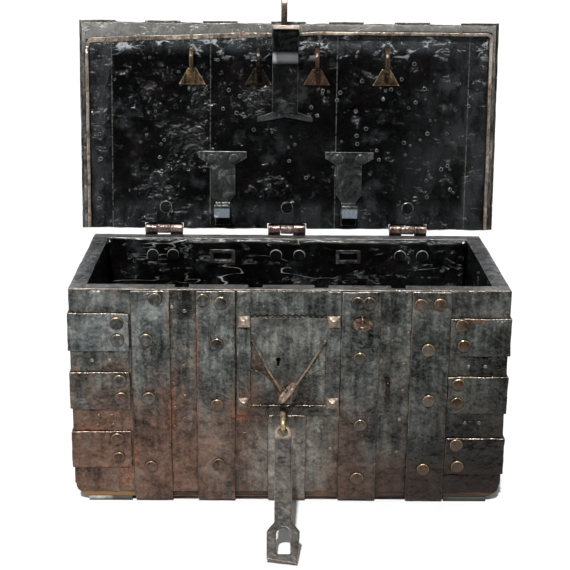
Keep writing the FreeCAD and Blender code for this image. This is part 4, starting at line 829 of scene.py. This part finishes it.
# Rivet and nail heads: outlines as (share of radius, share of height) from the rim to the crown
headShapes = {
    "rivet": {"outline": ((1.0, 0.0), (1.0, 0.34), (0.94, 0.60), (0.78, 0.76), (0.5, 0.92), (0.25, 1.0)),
              "sides": 22, "sunk": 1.2, "jitter": 0.07, "tilt": 0.05, "shine": 0.9},
    "nail": {"outline": ((1.0, 0.0), (0.94, 0.6), (0.6, 1.0), (0.25, 0.8)), "sides": 10, "sunk": 1.0,
             "jitter": 0.15, "tilt": 0.12, "shine": 0.9},
    "ring": {"outline": ((1.0, 0.0), (1.0, 0.5), (0.84, 1.0), (0.6, 0.8), (0.5, 0.1)), "sides": 12,
             "sunk": 1.5, "jitter": 0.2, "tilt": 0.15, "shine": 1.0},
}
# Worn ring on every head: between these shares of its radius, with a painted highlight where it faces up
headWearAndHighlight = {"from": 0.8, "to": 0.97, "level": 0.72, "up": 0.28, "elsewhere": 0.15, "uneven": 0.12, "pace": 90}
# Burred nail ends inside the lid, as (x, y) in millimetres with the lid closed
nailEnds = ((-133, -96), (-108, -83), (-184, -96), (-80, -87), (-87, -64), (-77, -9), (-145, -55),
            (-115, -46), (50, -59), (63, -41), (75, -96), (114, -92), (107, -75), (149, -51),
            (162, -118), (227, -100), (250, -122), (277, -156), (301, -102), (282, -72), (400, -65),
            (173, -13), (152, 3), (154, 21), (258, 18), (310, -3), (353, -3), (198, 35),
            (203, 56), (357, 68), (343, 76), (311, 102), (312, 139), (364, 121), (2, 60),
            (-19, 97), (40, 97), (-42, 116), (-420, 3), (-419, 58), (-277, 15), (-287, 53),
            (-423, 147))
nailEnd = {"radius": 4.6, "rise": 2.6, "more": 70, "small": (0.45, 0.8), "wide": 385, "near": -185,
           "far": 140, "seed": 70, "dice": 11}
heads = {
    "outerRivets": {"node": "outer_rivets", "shape": "rivet", "finish": "rivet"},
    "outerNails": {"node": "outer_nails", "shape": "nail", "finish": "nail"},
    "innerRivets": {"node": "lining_rivets", "shape": "rivet", "finish": "domeBlack"},
    "lidRivets": {"node": "lid_rivets", "shape": "rivet", "finish": "domeBlack"},
}


# The separate domes of a node, as (foot, outward direction, radius, rise)
def domesOf(node, shut):
    work = welded(node, shut)
    found, seen = [], set()
    for start in work.verts:
        if start in seen:
            continue
        island, front = [], [start]
        seen.add(start)
        while front:
            vert = front.pop()
            island.append(vert.co.copy())
            for edge in vert.link_edges:
                other = edge.other_vert(vert)
                if other not in seen:
                    seen.add(other)
                    front.append(other)
        low = Vector([min(place[axis] for place in island) for axis in range(3)])
        high = Vector([max(place[axis] for place in island) for axis in range(3)])
        size = high - low
        thin = min(range(3), key=lambda axis: size[axis])
        onLow = sum(abs(place[thin] - low[thin]) < 0.05 * mm for place in island)
        onHigh = sum(abs(place[thin] - high[thin]) < 0.05 * mm for place in island)
        side = 1 if onLow > onHigh else -1
        foot = (low + high) / 2
        foot[thin] = low[thin] if side > 0 else high[thin]
        out = Vector([float(side) if axis == thin else 0.0 for axis in range(3)])
        found.append((foot, out, max(size) / 2, size[thin]))
    work.free()
    return sorted(found, key=lambda row: (round(row[0].x, 4), round(row[0].y, 4), round(row[0].z, 4)))


def addHead(work, worn, shape, foot, out, radius, rise, seed):
    sunk = -shape["sunk"] * mm
    outline = [(radius, sunk)] + [(radius * along, rise * up) for along, up in shape["outline"]]
    run = [work.verts.new((0, 0, sunk))] + [work.verts.new((along, 0, up)) for along, up in outline]
    run.append(work.verts.new((0, 0, rise * shape["outline"][-1][1])))
    edges = [work.edges.new(pair) for pair in zip(run, run[1:])]
    before = set(work.verts) - set(run)
    bmesh.ops.spin(work, geom=run + edges, cent=(0, 0, 0), axis=(0, 0, 1), dvec=(0, 0, 0), angle=math.tau,
                   steps=shape["sides"], use_merge=True, use_duplicate=False)
    mine = [vert for vert in work.verts if vert not in before]
    bmesh.ops.remove_doubles(work, verts=mine, dist=netOf["cut"])
    mine = [vert for vert in work.verts if vert not in before]
    chance = noise.noise_vector(Vector((seed * 1.37, seed * 0.71, 3.3)))
    stand = out.to_track_quat("Z", "Y").to_matrix().to_4x4()
    grow = 1 + shape["jitter"] * chance.x
    for vert in mine:
        flat = Vector((vert.co.x, vert.co.y, 0))
        if flat.length > 0:
            lobe = 1 + shape["jitter"] * noise.noise(flat.normalized() * 1.1 + Vector((seed * 2.1, 0, 5)))
            vert.co.x *= lobe * grow
            vert.co.y *= lobe * grow
        upward = stand.to_3x3() @ (flat / max(flat.length, 0.00001))
        # A ring near the rim gets the worn mark, with a painted highlight where it faces up
        ringed = headWearAndHighlight["from"] < flat.length / radius < headWearAndHighlight["to"] and vert.co.z > 0
        lit = headWearAndHighlight["level"] + headWearAndHighlight["up"] * upward.z
        vert[worn] = shape["shine"] * lit if ringed else headWearAndHighlight["elsewhere"]
        rough = Vector((vert.co.x * headWearAndHighlight["pace"], vert.co.y * headWearAndHighlight["pace"], seed * 1.7))
        vert.co.z += headWearAndHighlight["uneven"] * rise * noise.noise(rough)
    tilt = shape["tilt"]
    lean = Matrix.Rotation(tilt * chance.y, 4, "X") @ Matrix.Rotation(tilt * chance.z, 4, "Y")
    place = Matrix.Translation(foot + bodyWave(foot))
    bmesh.ops.transform(work, matrix=place @ stand @ lean, verts=mine)


# The burred ends at their places, and small ones scattered between them
def addNailEnds(work, worn):
    dice = random.Random(nailEnd["dice"])
    small = [(dice.uniform(-nailEnd["wide"], nailEnd["wide"]), dice.uniform(nailEnd["near"], nailEnd["far"]))
             for _ in range(nailEnd["more"])]
    for seed, (x, y) in enumerate(nailEnds + tuple(small), start=nailEnd["seed"]):
        large = seed < nailEnd["seed"] + len(nailEnds)
        radius = nailEnd["radius"] * (1 if large else dice.uniform(*nailEnd["small"]))
        addHead(work, worn, headShapes["ring"], Vector((x, y, sagOf["face"])) * mm, Vector((0, 0, -1)),
                radius * mm, nailEnd["rise"] * mm * radius / nailEnd["radius"], seed)


for name, head in heads.items():
    shut = bodyOf[head["node"]] == "lid"
    work = bmesh.new()
    worn = work.verts.layers.float.new("edge")
    domes = domesOf(head["node"], shut)
    for seed, (foot, out, radius, rise) in enumerate(domes):
        if name == "lidRivets" and out.z < 0:
            move = ridgeSag(foot)
            foot = foot + move
            rise *= sagOf["pressedRise"] if move.z > sagOf["pressed"] * mm else 1
        addHead(work, worn, headShapes[head["shape"]], foot, out, radius, rise, seed)
    if name == "lidRivets":
        addNailEnds(work, worn)
    bmesh.ops.recalc_face_normals(work, faces=work.faces)
    finished(work, name, head["node"], head["finish"], shut)
    print(name, len(domes))

# Boards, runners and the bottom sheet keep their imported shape
packed = dict.fromkeys(("oak_front", "oak_back", "oak_left", "oak_right", "oak_bottom", "lid_board"), "oak")
packed.update(runners="runner", cladding_bottom="sheet")
for node, finish in packed.items():
    nodes[node].data.materials.clear()
    nodes[node].data.materials.append(finishes[finish])
print("boards ready")


# One high light in front, a weak one beside the camera on either hand, and a pale floor. Angles in degrees
light = {"sun": 3.9, "sunAngle": 3, "height": 54, "side": -9, "left": 8, "right": 3, "panel": 0.8,
         "tint": (0.88, 0.95, 1.0)}
# The floor, and surroundings that are white to the camera but dark at eye level in front of the chest
room = {"floor": 60, "near": 0.6, "far": 1.5, "paleLow": (0.88, 0.88, 0.88, 1),
        "paleHigh": (0.9, 0.9, 0.9, 1), "reflected": (0.03, 0.03, 0.03, 1), "front": -0.25, "behind": 0.6,
        "dark": 0.02, "pale": 0.7}


def addFloor():
    slab = bmesh.new()
    bmesh.ops.create_grid(slab, x_segments=1, y_segments=1, size=room["floor"])
    mesh = bpy.data.meshes.new("floor")
    slab.to_mesh(mesh)
    slab.free()
    floor = bpy.data.objects.new("floor", mesh)
    bpy.context.scene.collection.objects.link(floor)
    made = Finish(bpy.data.materials.new("paleFloor"))
    reach = made.vector("LENGTH", made.place)["Value"]
    glossy = made.node("ShaderNodeLightPath").outputs["Is Glossy Ray"]
    dull = made.times(made.step(reach, room["near"], room["far"]), glossy)
    speck = made.noise(30, 4, 0.5)
    pale = made.ramp(speck, (0.3, room["paleLow"]), (0.7, room["paleHigh"]))
    colour = made.blend(dull, pale, room["reflected"])
    mesh.materials.append(made.done(colour, 0.9, made.bump(speck, 0.0002, 0.1), 0.0, 0.1))


def addWorld():
    world = bpy.data.worlds.new("studio")
    bpy.context.scene.world = world
    made = Finish(world)
    way = made.node("ShaderNodeTexCoord").outputs["Generated"]
    depth = made.node("ShaderNodeSeparateXYZ", {0: way}).outputs[1]
    behind = made.step(depth, room["front"], room["behind"], room["pale"], room["dark"])
    seen = made.most(behind, made.node("ShaderNodeLightPath").outputs["Is Camera Ray"])
    made.put(made.tree.nodes["Background"].inputs["Color"], seen)


# A lamp that shines from one place towards another
def addLamp(name, kind, energy, towards, place=(0, 0, 0)):
    lamp = bpy.data.objects.new(name, bpy.data.lights.new(name, kind))
    lamp.data.energy = energy
    lamp.location = place
    lamp.rotation_mode = "QUATERNION"
    lamp.rotation_quaternion = towards.to_track_quat("Z", "Y")
    bpy.context.scene.collection.objects.link(lamp)
    return lamp


def addLights():
    side, height = math.radians(light["side"]), math.radians(light["height"])
    high = Vector((math.sin(side) * math.cos(height), -math.cos(side) * math.cos(height), math.sin(height)))
    addLamp("keyLight", "SUN", light["sun"], high).data.angle = math.radians(light["sunAngle"])
    for hand, x in (("left", -1.9), ("right", 1.9)):
        place = Vector((x, -1.5, 0.95))
        panel = addLamp(hand + "Light", "AREA", light[hand], place - Vector((0, 0, 0.4)), place)
        panel.data.size = light["panel"]
        panel.data.color = light["tint"]


addFloor()
addWorld()
addLights()
addCamera()
bpy.context.scene.view_settings.view_transform = "Standard"
print("stage ready")
